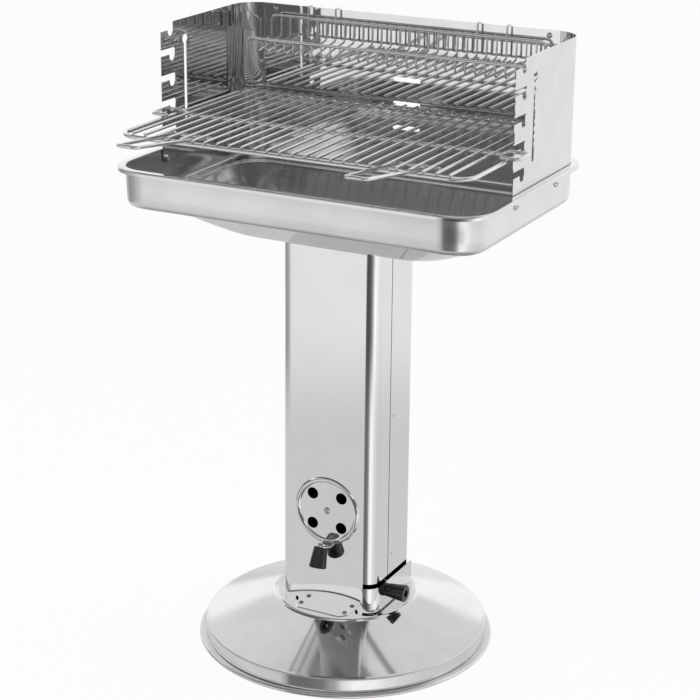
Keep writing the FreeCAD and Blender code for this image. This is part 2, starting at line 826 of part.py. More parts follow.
def make_grate():
    half_width = throat_half_width + grate_margin
    half_depth = throat_half_depth + grate_margin
    low = hopper_height + bowl_sheet + rest_gap
    outer = block((-half_width, -half_depth, low), (half_width, half_depth, low + grate_upstand))
    inner = block((-half_width - past, grate_sheet - half_depth, low + grate_sheet),
                  (half_width + past, half_depth - grate_sheet, low + grate_upstand + past))
    cuts = [inner]
    for i in range(grate_slot_count):
        x = (i - (grate_slot_count - 1) / 2) * grate_slot_pitch
        slot = rounded_block(grate_slot_width / 2, grate_slot_half_length,
                             grate_slot_width / 2 - slot_end_flat,
                             low - past, low + grate_sheet + past)
        slot.translate(Vec(x, 0, 0))
        cuts.append(slot)
    return outer.cut(cuts)


# Windshield

def shield_bolt_places():
    # on the inner face of the windshield, with the way out of the bowl
    y_places = (shield_front + shield_bolt_front_setback, shield_bolt_rear_y)
    inside = shield_half_width - shield_sheet
    places = []
    for sign in (-1, 1):
        for y in y_places:
            places.append((Vec(sign * inside, y, shield_bolt_height), X_AXIS * sign))
    places.append((Vec(0, rear_wall_front, shield_bolt_height), Y_AXIS))
    return places


def shield_joint_places():
    return [Vec(sign * shield_joint_x, rear_wall_front, z)
            for sign in (-1, 1) for z in shield_joint_heights]


def slot_along_x(half_length, height, y, level, length):
    # a slot with round ends, cut along +Y
    points = [Vec(-half_length, y, level - height / 2), Vec(half_length, y, level - height / 2),
              Vec(half_length, y, level + height / 2), Vec(-half_length, y, level + height / 2)]
    return prism(points, Y_AXIS * length, [height / 2 - slot_end_flat] * 4)


def side_cutter(low_y, high_y, low_z, high_z, bottom_round=0.0):
    # cuts the right-hand side panel along X, with a round bottom where one is given
    start = shield_half_width - shield_sheet - past
    points = [Vec(start, low_y, low_z), Vec(start, high_y, low_z),
              Vec(start, high_y, high_z), Vec(start, low_y, high_z)]
    radii = [bottom_round, bottom_round, 0, 0]
    return prism(points, X_AXIS * (shield_sheet + 2 * past), radii)


def hook_cutters():
    cuts = []
    for i in range(hook_count):
        bottom = hook_top_bottom - i * hook_pitch
        mouth = bottom + hook_mouth_rise
        top = mouth + hook_mouth_height
        cuts.append(side_cutter(shield_front - past, hook_rear, mouth, top))
        cuts.append(side_cutter(hook_rear - hook_width, hook_rear, bottom, top,
                                hook_width / 2 - slot_end_flat))
    return cuts


def make_shield_side():
    # right-hand side, which wraps round the rear corner behind the rear wall
    line = [(shield_half_width, shield_front), (shield_half_width, shield_half_depth),
            (shield_flap_end, shield_half_depth)]
    section = sheet_outline(line, [0, shield_corner, 0], shield_sheet, on_floor(shield_bottom))
    panel = Part.Face(section).extrude(Z_AXIS * (shield_top - shield_bottom))
    cuts = hook_cutters()
    cuts.append(side_cutter(shield_front - past, spit_notch_rear, shield_step_top, shield_top + past))
    cuts.append(side_cutter(spit_notch_front, spit_notch_rear, spit_notch_bottom,
                            shield_top + past, (spit_notch_rear - spit_notch_front) / 2 - slot_end_flat))
    cuts.append(side_cutter(keyhole_y - keyhole_slot_width / 2, keyhole_y + keyhole_slot_width / 2,
                            keyhole_slot_bottom, keyhole_height, keyhole_slot_width / 2 - slot_end_flat))
    centre = Vec(shield_half_width - shield_sheet - past, keyhole_y, keyhole_height)
    cuts.append(cylinder(keyhole_radius, centre, X_AXIS, shield_sheet + 2 * past))
    for place, outward in shield_bolt_places():
        cuts.append(hole(bolt, place - outward * past, outward, shield_sheet + 2 * past))
    for place in shield_joint_places():
        cuts.append(hole(small_screw, place, Y_AXIS, joint_grip + past))
    return panel.cut(cuts)


def make_shield_rear():
    wall = block((-shield_rear_half_width, rear_wall_front, shield_bottom),
                 (shield_rear_half_width, rear_wall_back, shield_top))
    cuts = []
    for level in rear_slot_levels:
        cuts.append(slot_along_x(rear_slot_half_length, rear_slot_height, rear_wall_front - past,
                                 level, shield_sheet + 2 * past))
    for place in shield_joint_places():
        cuts.append(hole(small_screw, place - Y_AXIS * past, Y_AXIS, shield_sheet + 2 * past))
    cuts.append(hole(bolt, Vec(0, rear_wall_front - past, shield_bolt_height), Y_AXIS,
                     shield_sheet + 2 * past))
    return wall.cut(cuts)


def make_shield_fasteners():
    bolts, nuts = [], []
    for place, outward in shield_bolt_places():
        wall = wall_half_width if outward.x else wall_half_depth
        grip = wall - wall_inset(shield_bolt_height) - place.dot(outward) + rest_gap
        bolts.append(stand_at(screw(bolt, grip + nut_height + past), place, -outward))
        nuts.append(stand_at(nut(bolt), place + outward * grip, outward))
    joints = fasten(shield_joint_places(), -Y_AXIS, joint_grip + nut_height + past, small_screw)
    behind = [place + Y_AXIS * joint_grip for place in shield_joint_places()]
    return bolts, nuts, joints, nuts_at(behind, Y_AXIS, small_screw)


# Cooking grid

def bar_places():
    return [(i - (grid_bar_count - 1) / 2) * grid_bar_pitch for i in range(grid_bar_count)]


def make_grid_frame():
    z = grid_frame_height
    points = [Vec(grid_half_width, grid_front, z), Vec(grid_half_width, grid_rear, z),
              Vec(-grid_half_width, grid_rear, z), Vec(-grid_half_width, grid_front, z)]
    return rod(points, grid_frame_radius, [grid_corner] * 4, closed=True)


def make_grid_bars():
    # each bar turns down over the front of the frame
    nose = grid_front - grid_frame_radius - grid_bar_radius + weld_sink
    bars = []
    for x in bar_places():
        points = [Vec(x, grid_rear + grid_bar_overhang, grid_bar_height),
                  Vec(x, nose, grid_bar_height), Vec(x, nose, grid_bar_height - grid_bar_nose)]
        bars.append(rod(points, grid_bar_radius))
    return bars


def make_cross_wire():
    # one wire under the bars, whose ends step over the frame and turn forwards as ears
    high, low = ear_height, grid_cross_height
    rear, front = grid_ear_rear, grid_ear_front
    foot = grid_ear_inner - grid_ear_ramp
    right = [(foot, rear, low), (grid_ear_inner, rear, high), (grid_ear_reach, rear, high),
             (grid_ear_reach, front, high), (grid_ear_inner, front, high)]
    left = [(-x, y, z) for x, y, z in reversed(right)]
    points = [Vec(*place) for place in left + right]
    ramp, turn = grid_ear_bend, grid_ear_turn
    bends = [0, turn, turn, ramp, ramp, ramp, ramp, turn, turn, 0]
    return rod(points, grid_cross_radius, bends)


def handle_leg_places():
    # midway between two bars, on each side of the handle
    bars = bar_places()
    first = grid_bar_count // 2 + grid_handle_start_count - 1
    second = first + grid_handle_gap_count
    return (bars[first] + bars[first + 1]) / 2, (bars[second] + bars[second + 1]) / 2


def make_grid_handle():
    near, far = handle_leg_places()
    low = grid_frame_height + grid_frame_radius + grid_handle_radius - weld_sink
    high = low + grid_handle_rise
    end = grid_handle_root + grid_root_overhang
    start = grid_front - grid_handle_start
    points = [Vec(near, end, low), Vec(near, start, low), Vec(near, grid_handle_tip, high),
              Vec(far, grid_handle_tip, high), Vec(far, start, low), Vec(far, end, low)]
    slow, sharp = grid_handle_slow_bend, grid_handle_bend
    return rod(points, grid_handle_radius, [0, slow, sharp, sharp, slow, 0])


def make_root_wire():
    near, far = handle_leg_places()
    z = grid_bar_height - grid_bar_radius - grid_root_radius + weld_sink
    left = near - grid_bar_pitch / 2 - grid_root_overhang
    right = far + grid_bar_pitch / 2 + grid_root_overhang
    return cylinder(grid_root_radius, Vec(left, grid_handle_root, z), X_AXIS, right - left)


# Warming rack

def rack_wire_places():
    return [(i - (rack_wire_count - 1) / 2) * rack_wire_pitch for i in range(rack_wire_count)]


def rack_hook_xs():
    xs = [(place + 0.5) * rack_wire_pitch for place in rack_hook_counts]
    return [sign * x for x in xs for sign in (-1, 1)]


def rack_lip_y():
    return rack_front_y + rack_bar_radius + rack_wire_radius - weld_sink


def make_rack_bar(y, height, drop):
    points = [Vec(-rack_half_width, y, height - drop), Vec(-rack_half_width, y, height),
              Vec(rack_half_width, y, height), Vec(rack_half_width, y, height - drop)]
    return rod(points, rack_bar_radius, [0, rack_end_bend, rack_end_bend, 0])


def rack_wire_points(x):
    y = rack_wire_y
    return [Vec(x, y, rack_bar_height + rack_bar_radius), Vec(x, y, rack_floor_rear),
            Vec(x, rack_lip_y(), rack_floor_front),
            Vec(x, rack_lip_y(), rack_front_height + rack_bar_radius)]


def make_rack_wires():
    hooks = rack_hook_xs()
    plain = [x for x in rack_wire_places() if min(abs(x - h) for h in hooks) > rack_wire_pitch / 2]
    return [rod(rack_wire_points(x), rack_wire_radius) for x in plain]


def make_rack_hooks():
    top = shield_top + rest_gap + rack_wire_radius
    behind = rear_wall_back + rest_gap + rack_wire_radius
    wires = []
    for x in rack_hook_xs():
        points = [Vec(x, behind, top - rack_hook_drop), Vec(x, behind, top),
                  Vec(x, rack_wire_y, top)] + rack_wire_points(x)[1:]
        wires.append(rod(points, rack_wire_radius))
    return wires


def main():
    os.makedirs("parts", exist_ok=True)

    save("base_cone", make_base())
    front, rear = make_column()
    save("column_front_shell", front)
    save("column_rear_shell", rear)
    seam_places = seam_screw_places()
    left = [place for place in seam_places if place.x < 0]
    right = [place for place in seam_places if place.x > 0]
    save("column_seam_screws", *fasten(left, -X_AXIS, seam_grip, small_screw),
         *fasten(right, X_AXIS, seam_grip, small_screw))
    save("foot_screws", *fasten(foot_screw_places(), Z_AXIS, foot_grip, small_screw))

    disc, handle, handle_screw, handle_nut, pivot, pivot_nut = make_vent()
    save("vent_disc", disc)
    save("vent_knob", handle)
    save("vent_knob_screw", handle_screw)
    save("vent_knob_nut", handle_nut)
    save("vent_pivot_screw", pivot)
    save("vent_pivot_nut", pivot_nut)

    save("ash_drawer_tray", make_drawer_tray())
    save("ash_drawer_face", make_drawer_face())
    handle, handle_screw, handle_nut = make_drawer_handle()
    save("ash_drawer_handle", handle)
    save("ash_drawer_handle_screw", handle_screw)
    save("ash_drawer_handle_nut", handle_nut)

    save("fire_bowl", make_bowl())
    head_grip = bowl_sheet + column_sheet
    save("bowl_screws", *fasten(head_screw_places(), Z_AXIS, head_grip + nut_height + past,
                                small_screw))
    under = [place - Z_AXIS * head_grip for place in head_screw_places()]
    save("bowl_nuts", *nuts_at(under, -Z_AXIS, small_screw))
    save("ash_grate", make_grate())

    side = make_shield_side()
    save("windshield_right", side)
    save("windshield_left", mirrored(side))
    save("windshield_rear", make_shield_rear())
    bolts, nuts, joints, joint_nuts = make_shield_fasteners()
    save("windshield_bolts", *bolts)
    save("windshield_nuts", *nuts)
    save("windshield_joint_screws", *joints)
    save("windshield_joint_nuts", *joint_nuts)

    save("grid_frame", make_grid_frame())
    save("grid_bars", *make_grid_bars())
    save("grid_cross_wire", make_cross_wire())
    grid_handle = make_grid_handle()
    save("grid_handle_right", grid_handle)
    save("grid_handle_left", mirrored(grid_handle))
    root = make_root_wire()
    save("grid_handle_roots", root, mirrored(root))

    rack_top_y = rack_wire_y - rack_wire_radius - rack_bar_radius + weld_sink
    save("rack_rear_bar", make_rack_bar(rack_top_y, rack_bar_height, rack_end_drop))
    save("rack_front_bar", make_rack_bar(rack_front_y, rack_front_height,
                                         rack_front_height - rack_floor_front))
    save("rack_wires", *make_rack_wires())
    save("rack_hook_wires", *make_rack_hooks())


main()
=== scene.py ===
import bpy
import bmesh
from math import asin, atan2, ceil, cos, degrees, pi, radians, sin, sqrt, tan, tau
from mathutils import Matrix, Vector


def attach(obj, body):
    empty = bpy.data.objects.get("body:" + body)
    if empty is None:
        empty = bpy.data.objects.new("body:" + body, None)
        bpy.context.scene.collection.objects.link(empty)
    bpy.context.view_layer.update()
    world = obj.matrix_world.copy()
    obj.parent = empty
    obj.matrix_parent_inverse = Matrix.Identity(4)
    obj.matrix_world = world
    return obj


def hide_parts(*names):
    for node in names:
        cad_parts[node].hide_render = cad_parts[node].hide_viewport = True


# Charcoal barbecue on a column. Sizes below are in millimetres, and the meshes are scaled to metres.

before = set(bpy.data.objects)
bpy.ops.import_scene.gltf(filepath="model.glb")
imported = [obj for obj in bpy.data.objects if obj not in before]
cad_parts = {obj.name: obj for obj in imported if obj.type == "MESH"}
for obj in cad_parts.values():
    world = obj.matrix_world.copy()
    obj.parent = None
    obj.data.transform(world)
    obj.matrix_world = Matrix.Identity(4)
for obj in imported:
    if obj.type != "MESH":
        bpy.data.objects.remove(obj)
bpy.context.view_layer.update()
print("frame loaded:", len(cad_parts), "nodes")

mm = 0.001      # metres
xAxis, yAxis, zAxis = Vector((1, 0, 0)), Vector((0, 1, 0)), Vector((0, 0, 1))


def addObject(name, data):
    made = bpy.data.objects.new(name, data)
    bpy.context.scene.collection.objects.link(made)
    return made


# Camera

camera = {
    "target": (2.63, 0, 406.04),
    "turn": 27.23,      # degrees round the barbecue, from straight in front towards its right
    "height": 19.15,    # degrees above level
    "lean": 0.56,       # degrees that the picture is turned
    "distance": 2649.1,
    "lens": 103.87, "filmWidth": 36, "near": 0.05, "far": 60,
}


def makeCamera(c):
    data = bpy.data.cameras.new("studioCamera")
    data.lens, data.sensor_width = c["lens"], c["filmWidth"]
    data.clip_start, data.clip_end = c["near"], c["far"]
    eye = addObject("studioCamera", data)
    stand = Matrix.Translation(Vector(c["target"]) * mm)
    for angle, axis in ((c["turn"], "Z"), (90 - c["height"], "X"), (c["lean"], "Z")):
        stand = stand @ Matrix.Rotation(radians(angle), 4, axis)
    eye.matrix_world = stand @ Matrix.Translation((0, 0, c["distance"] * mm))
    bpy.context.scene.camera = eye


makeCamera(camera)
bpy.context.scene.view_settings.view_transform = "Standard"
print("camera set")


# Colours and nodes

def fromHex(code):
    # sRGB hex to linear
    parts = [int(code[i:i + 2], 16) / 255 for i in (1, 3, 5)]
    return [p / 12.92 if p <= 0.04045 else ((p + 0.055) / 1.055) ** 2.4 for p in parts] + [1.0]


def node(tree, kind, values=None, links=None, settings=None):
    # adds one node with its own settings, fixed socket values and links into its sockets, and gives its outputs
    made = tree.nodes.new("ShaderNode" + kind)
    for key, value in (settings or {}).items():
        setattr(made, key, value)
    for key, value in (values or {}).items():
        made.inputs[key].default_value = value
    for key, source in (links or {}).items():
        tree.links.new(source, made.inputs[key])
    return made.outputs


def grain(size):
    # texture scale for a feature of this size in millimetres, in object space in metres
    return 1 / (size * mm)


def emptyMaterial(name):
    material = bpy.data.materials.new(name)
    material.use_nodes = True
    material.node_tree.nodes.clear()
    return material, material.node_tree


rangeEnds = ("From Min", "From Max", "To Min", "To Max")
cloudEdges = {"From Min": 0.35, "From Max": 0.65}   # where most of a slow noise lies
bareMetal = {"Metallic": 1.0}


def finishMaterial(tree, colours, tintBy, roughBy, between, roughness, values, bumpBy=None, depth=0.0, strength=1.0):
    # one pattern mixes the two colours, another sets the roughness, and a third dents it by depth in millimetres
    tint = node(tree, "Mix", {6: fromHex(colours[0]), 7: fromHex(colours[1])}, {0: tintBy}, {"data_type": "RGBA"})
    rough = node(tree, "MapRange", dict(zip(rangeEnds, between + roughness)), {"Value": roughBy})
    links = {"Base Color": tint[2], "Roughness": rough[0]}
    if bumpBy:
        links["Normal"] = node(tree, "Bump", {"Strength": strength, "Distance": depth * mm}, {"Height": bumpBy})[0]
    shader = node(tree, "BsdfPrincipled", values, links)
    node(tree, "OutputMaterial", {}, {"Surface": shader[0]})


def steelSheet(name, colours, roughness, wave, waveDepth, stretch=(1, 1, 1)):
    # rolled sheet: roughness that wanders a little, and a slow waviness that bends long reflections
    material, tree = emptyMaterial(name)
    place = node(tree, "TexCoord")["Object"]
    longways = node(tree, "Mapping", {"Scale": stretch}, {"Vector": place})
    lines = node(tree, "TexNoise", {"Scale": grain(3), "Detail": 3.0, "Roughness": 0.6}, {"Vector": longways[0]})
    cloud = node(tree, "TexNoise", {"Scale": grain(45), "Detail": 2.0}, {"Vector": place})
    both = node(tree, "Math", {}, {0: lines[0], 1: cloud[0]}, {"operation": "MULTIPLY"})
    shade = node(tree, "MapRange", cloudEdges, {"Value": cloud[0]})
    swell = node(tree, "TexNoise", {"Scale": grain(wave), "Detail": 1.0}, {"Vector": place})
    finishMaterial(tree, colours, shade[0], both[0], (0.1, 0.45), roughness, bareMetal, swell[0], waveDepth)
    return material


def spunSteel(name, colours, roughness):
    # sheet turned on a lathe: fine rings round the axis, drawn at 1.6 mm where real ones are under 0.5 mm
    material, tree = emptyMaterial(name)
    place = node(tree, "TexCoord")["Object"]
    level = node(tree, "Mapping", {"Scale": (1, 1, 0)}, {"Vector": place})
    reach = node(tree, "VectorMath", {}, {0: level[0]}, {"operation": "LENGTH"})["Value"]
    rings = node(tree, "TexNoise", {"Scale": grain(1.6), "Detail": 2.0}, {"W": reach}, {"noise_dimensions": "1D"})
    cloud = node(tree, "TexNoise", {"Scale": grain(60), "Detail": 2.0}, {"Vector": place})
    shade = node(tree, "MapRange", cloudEdges, {"Value": cloud[0]})
    finishMaterial(tree, colours, shade[0], rings[0], (0.3, 0.7), roughness, bareMetal, rings[0], 0.01)
    return material


def platedMetal(name, colours, roughness, speck):
    # plating over steel: a clean colour with small duller specks
    material, tree = emptyMaterial(name)
    specks = node(tree, "TexNoise", {"Scale": grain(speck), "Detail": 4.0, "Roughness": 0.65},
                  {"Vector": node(tree, "TexCoord")["Object"]})
    finishMaterial(tree, colours, specks[0], specks[0], (0.4, 0.75), roughness, bareMetal)
    return material


def mouldedPhenolic(name, colours):
    # black knob plastic: a half-gloss skin with a faint orange-peel from the mould
    material, tree = emptyMaterial(name)
    peel = node(tree, "TexNoise", {"Scale": grain(1.2), "Detail": 3.0},
                {"Vector": node(tree, "TexCoord")["Object"]})
    finishMaterial(tree, colours, peel[0], peel[0], (0.3, 0.7), (0.3, 0.42),
                   {"IOR": 1.55, "Coat Weight": 0.15, "Coat Roughness": 0.2}, peel[0], 0.05, 0.6)
    return material


# bright annealed and polished: a near mirror, light neutral grey
polishedStainless = steelSheet("polishedStainless", ("#E8E8E8", "#E2E2E2"), (0.025, 0.045), 60, 0.05, (1, 1, 0.04))
# the same sheet after deep drawing, which dulls it: reflections keep their place and lose their edges
drawnStainless = steelSheet("drawnStainless", ("#E8E8E8", "#E2E2E2"), (0.1, 0.13), 90, 0.04)
# the sheet's mill side: dull, and a dark grey that is painted shade; seen through the vent holes and the seam only
millSideWithPaintedShade = steelSheet("millSideWithPaintedShade", ("#6C6C6C", "#626262"), (0.5, 0.6), 90, 0.02)
# the column's sheet, polished less and folded flatter: a softer mirror with straighter reflections
satinStainless = steelSheet("satinStainless", ("#E8E8E8", "#E6E6E6"), (0.035, 0.055), 150, 0.02, (1, 1, 0.05))
# turned base: reflections spread a little across the rings
spunStainless = spunSteel("spunStainless", ("#EAEAEA", "#E2E2E2"), (0.05, 0.1))
# bright chromium on drawn wire: the clearest mirror here
chromedWire = platedMetal("chromedWire", ("#EDEDED", "#E4E4E4"), (0.02, 0.05), 6)
# bright zinc on screws and nuts: a trace of blue, duller than the sheet
zincPlate = platedMetal("zincPlate", ("#E2E3E5", "#D0D2D4"), (0.05, 0.13), 1.5)
# moulded phenolic of the knobs
blackPhenolic = mouldedPhenolic("blackPhenolic", ("#161617", "#1F1F20"))
print("materials made")


# Making meshes

def bendPath(points, bends, closed=False, fine=6.0):
    # straight runs joined by round bends, with one point for each fine degrees of turn; a pair is radius and height
    points = [Vector((p[0], 0, p[1])) if len(p) == 2 else Vector(p) for p in points]
    made = []
    for i, corner in enumerate(points):
        if bends[i] <= 0 or (not closed and i in (0, len(points) - 1)):
            made.append(corner)
            continue
        before = (points[i - 1] - corner).normalized()
        after = (points[(i + 1) % len(points)] - corner).normalized()
        half = before.angle(after) / 2
        centre = corner + (before + after).normalized() * (bends[i] / sin(half))
        reach = bends[i] / tan(half)
        arm, last = corner + before * reach - centre, corner + after * reach - centre
        turn, hinge = arm.angle(last), arm.cross(last).normalized()
        steps = max(2, ceil(degrees(turn) / fine))
        made += [centre + Matrix.Rotation(turn * step / steps, 3, hinge) @ arm for step in range(steps + 1)]
    return made


def sideStep(path, lift, thickness):
    # the path moved to its left, seen from the tip of lift
    runs = [lift.cross(b - a).normalized() for a, b in zip(path, path[1:])]
    moved = []
    for i, point in enumerate(path):
        sides = runs[max(i - 1, 0):i + 1]
        middle = sum(sides, Vector()).normalized()
        moved.append(point + middle * (thickness / middle.dot(sides[0])))
    return moved


def loft(rows, bm=None, capped=True):
    # a skin over rows of points that each go all round; the first and last are filled in, or else joined
    bm = bm or bmesh.new()
    rings = [[bm.verts.new(p) for p in row] for row in rows]
    for one, two in zip(rings, rings[1:] + ([] if capped else rings[:1])):
        for i in range(len(one)):
            bm.faces.new((one[i], one[i - 1], two[i - 1], two[i]))
    if capped:
        bm.faces.new(rings[0])
        bm.faces.new(rings[-1])
    return bm


def bentSheet(path, lift, thickness, bm=None):
    # a sheet that stands on the path and reaches along lift
    path = [Vector(p) for p in path]
    return loft([(near, near + lift, far + lift, far) for near, far in zip(path, sideStep(path, lift, thickness))],
                bm)


def prism(loop, lift, bm=None):
    return loft([loop, [Vector(p) + lift for p in loop]], bm)


def rod(start, lift, radius, steps, bm=None):
    along = lift.normalized()
    arm = along.orthogonal().normalized() * radius
    loop = [Vector(start) + Matrix.Rotation(tau * i / steps, 3, along) @ arm for i in range(steps)]
    return prism(loop, lift, bm)


def turned(outline, closed=True, steps=64):
    # an outline of radius and height turned about Z; a point on the axis stays one point
    bm, rings = bmesh.new(), []
    for spot in outline:
        radius, height, count = spot[0], spot[-1], steps if spot[0] > 1e-6 else 1
        rings.append([bm.verts.new((radius * cos(tau * i / steps), radius * sin(tau * i / steps),
                                    height)) for i in range(count)])
    for one, two in zip(rings, rings[1:] + (rings[:1] if closed else [])):
        for i in range(steps):
            corners = [ring[j % len(ring)] for ring, j in ((one, i), (one, i + 1), (two, i + 1), (two, i))]
            if len(set(corners)) > 2:
                bm.faces.new(list(dict.fromkeys(corners)))
    return bm


def rectangle(left, right, near, far):
    return [(right, near), (right, far), (left, far), (left, near)]


def toMesh(name, bm):
    mesh = bpy.data.meshes.new(name)
    bm.to_mesh(mesh)
    bm.free()
    return mesh


def makeObject(name, bm):
    bmesh.ops.scale(bm, vec=(mm, mm, mm), verts=bm.verts)
    bmesh.ops.recalc_face_normals(bm, faces=bm.faces)
    return addObject(name, toMesh(name, bm))


def foldedSheet(name, line, bends, lift, thickness, fine):
    return makeObject(name, bentSheet(bendPath(line, bends, fine=fine), lift, thickness))


def bareMesh(made):
    # the object's mesh, without the object
    mesh = made.data
    bpy.data.objects.remove(made)
    return mesh


def joinInto(made, other):
    # adds the other object's mesh to the piece
    whole = bmesh.new()
    for mesh in (made.data, bareMesh(other)):
        whole.from_mesh(mesh)
    whole.to_mesh(made.data)
    whole.free()


def cutAway(made, cutters):
    # takes the cutters out of the piece, and keeps the result as its mesh
    tool = makeObject("cutter", cutters)
    change = made.modifiers.new("cut", "BOOLEAN")
    change.object, change.solver, change.operation = tool, "EXACT", "DIFFERENCE"
    bpy.context.view_layer.update()
    result = bpy.data.meshes.new_from_object(made.evaluated_get(bpy.context.evaluated_depsgraph_get()))
    made.modifiers.clear()
    made.data = result
    bpy.data.objects.remove(tool)


def finishPiece(made, material, cadNode, body="pedestal", sharp=28):
    # sharp is the angle in degrees from which an edge shows as one
    made.data.materials.clear()
    made.data.materials.append(material)
    if made.type == "MESH":
        bm = bmesh.new()
        bm.from_mesh(made.data)
        bmesh.ops.recalc_face_normals(bm, faces=bm.faces)
        bm.to_mesh(made.data)
        bm.free()
        made.data.shade_smooth()
        made.data.set_sharp_from_angle(angle=radians(sharp))
        even = made.modifiers.new("even", "WEIGHTED_NORMAL")   # flat faces stay flat beside a bend
        even.keep_sharp = True
        even.weight = 80
    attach(made, body)
    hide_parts(cadNode)


def domedEnds(run, radius):
    # the cut ends of a wire are rounded over: each point with its share of the wire's radius
    dome = [(1 - cos(radians(a)), sin(radians(a))) for a in (15, 40, 65)] + [(1.0, 1.0)]
    ends = []
    for tip, beside in ((run[0], run[1]), (run[-1], run[-2])):
        inward = (beside - tip).normalized() * radius
        ends.append([(tip + inward * back, width) for back, width in dome])
    return ends[0] + [(spot, 1.0) for spot in run[1:-1]] + ends[1][::-1]


def makeWires(name, runs, radius, body, cadNode, closed=False):
    line = bpy.data.curves.new(name, "CURVE")
    line.dimensions = "3D"
    line.bevel_depth = radius * mm
    line.bevel_resolution = 4
    line.use_fill_caps = True
    for run in runs:
        run = [Vector(spot) for spot in run]
        spots = [(spot, 1.0) for spot in run] if closed else domedEnds(run, radius)
        spline = line.splines.new("POLY")
        spline.points.add(len(spots) - 1)
        for point, (spot, width) in zip(spline.points, spots):
            point.co = (*(spot * mm), 1)
            point.radius = width
        spline.use_cyclic_u = closed
    finishPiece(addObject(name, line), chromedWire, cadNode, body)


# Screws, nuts and knobs are made along +Z and then stood in place

smallScrew = {"shank": 2.0, "head": 3.8, "height": 2.2, "recess": 1.9}
bolt = {"shank": 2.5, "head": 4.8, "height": 2.8, "recess": 2.4}
nutShape = {"height": 3.2, "corner": 1.9, "chamfer": 0.5, "flat": 0.88}
knobShape = {"length": 28.0, "root": 8.8, "end": 11.8, "round": 1.5, "recess": 5.0, "depth": 12.0, "bore": 2.55}


def screwMesh(size, length):
    # pan head with a cross recess
    head, height = size["head"], size["height"]
    crown = (head ** 2 + height ** 2) / (2 * height)
    outline = [(0, -length), (size["shank"] - 0.4, -length), (size["shank"], -length + 0.6), (size["shank"], 0),
               (head - 0.15, 0), (head, 0.25)]
    for step in range(1, 9):
        radius = head * (1 - step / 8)
        rise = height - crown + sqrt(crown ** 2 - radius ** 2)
        outline.append((radius, max(rise, 0.3)))
    made = makeObject("screwBlank", turned(outline, closed=False, steps=24))
    reach, half, deep = size["recess"], size["recess"] * 0.2, height * 0.65
    cross = [(reach, half), (half, half), (half, reach)]
    for turn in range(3):
        cross += [(-y, x) for x, y in cross[-3:]]
    cutAway(made, prism([(x, y, height - deep) for x, y in cross], zAxis * (deep + 1)))
    return bareMesh(made)


def nutMesh(size):
    # six flats with both faces chamfered
    corner, height, chamfer = size["shank"] * nutShape["corner"], nutShape["height"], nutShape["chamfer"]
    loop = [(corner * cos(a), corner * sin(a), 0) for a in [tau * i / 6 for i in range(6)]]
    made = makeObject("nutBlank", prism(loop, zAxis * height))
    outer, inner = corner + 2, corner * nutShape["flat"]
    cutters = turned([(inner, -1), (outer, -1), (outer, height + 1), (inner, height + 1), (inner, height),
                      (corner + 0.01, height - chamfer), (corner + 0.01, chamfer), (inner, 0)], steps=48)
    cutAway(made, rod(-zAxis, zAxis * (height + 2), size["shank"] + 0.02, 24, cutters))
    return bareMesh(made)


def knobMesh(k):
    deep = k["length"] - k["depth"]
    outline = [(k["bore"], 0), (k["root"], 0), (k["end"], k["length"]), (k["recess"], k["length"]),
               (k["recess"], deep), (k["bore"], deep)]
    bends = [0, k["round"], k["round"], 0.6, 0, 0]
    return bareMesh(makeObject("knobBlank", turned(bendPath(outline, bends, True, 15))))


def standIn(name, mesh, places, turn=0.0):
    # one object that holds a copy of the mesh at each place, its +Z pointing along the direction given there
    bm = bmesh.new()
    for i, (place, direction) in enumerate(places):
        stand = direction.to_track_quat("Z", "Y").to_matrix().to_4x4()
        spin = Matrix.Rotation(turn + 0.7 * i, 4, "Z") if turn else Matrix.Identity(4)
        copy = mesh.copy()
        copy.transform(Matrix.Translation(Vector(place) * mm) @ stand @ spin)
        bm.from_mesh(copy)
        bpy.data.meshes.remove(copy)
    return addObject(name, toMesh(name, bm))


def fasteners(name, mesh, places, cadNode, body="pedestal"):
    # no two screws stop at the same turn
    finishPiece(standIn(name, mesh, places, 0.35), zincPlate, cadNode, body, 35)


def makeKnob(name, body, cadNode, seat, out, nutDrop, screwPast):
    # the grip with its sunk screw, which reaches past the seat, and the nut, which lies below it
    sunk = knobShape["length"] - knobShape["depth"]
    finishPiece(standIn(name, knobMesh(knobShape), [(seat, out)]), blackPhenolic, cadNode, body)
    screw = screwMesh(bolt, sunk + screwPast)
    fasteners(name + "_screw", screw, [(seat + out * sunk, out)], cadNode + "_screw", body)
    fasteners(name + "_nut", nutMesh(bolt), [(seat - out * nutDrop, -out)], cadNode + "_nut", body)


# Base: one turned sheet with a rolled rim

base = {
    "sheet": 1.2, "radius": 200.0, "rimWidth": 8.0, "rimHeight": 5.0, "rimRound": 2.2,
    "groove": 2.0, "grooveDepth": 1.6,
    "skirt": 190.6, "skirtTop": 21.5, "bead": 1.6, "coneFoot": (187.0, 24.5), "coneTop": (98.0, 59.0),
    "seatBead": (95.0, 61.3), "seat": (92.0, 60.0),
    "runnerHalfX": 50.0, "runnerHalfY": 4.0, "runnerY": 30.0, "runnerSink": 0.2, "runnerSlope": 1.3,
}


def makeRunner(bm, b, y):
    # a low rib on the seat, with sloping ends, which the ash drawer slides on
    rows = []
    for slope, z in ((0, b["seat"][1] - b["runnerSink"]), (b["runnerSlope"], b["seatBead"][1])):
        reach, half = b["runnerHalfX"] - slope, b["runnerHalfY"] - slope
        rows.append([(u, v, z) for u, v in rectangle(-reach, reach, y - half, y + half)])
    loft(rows, bm)


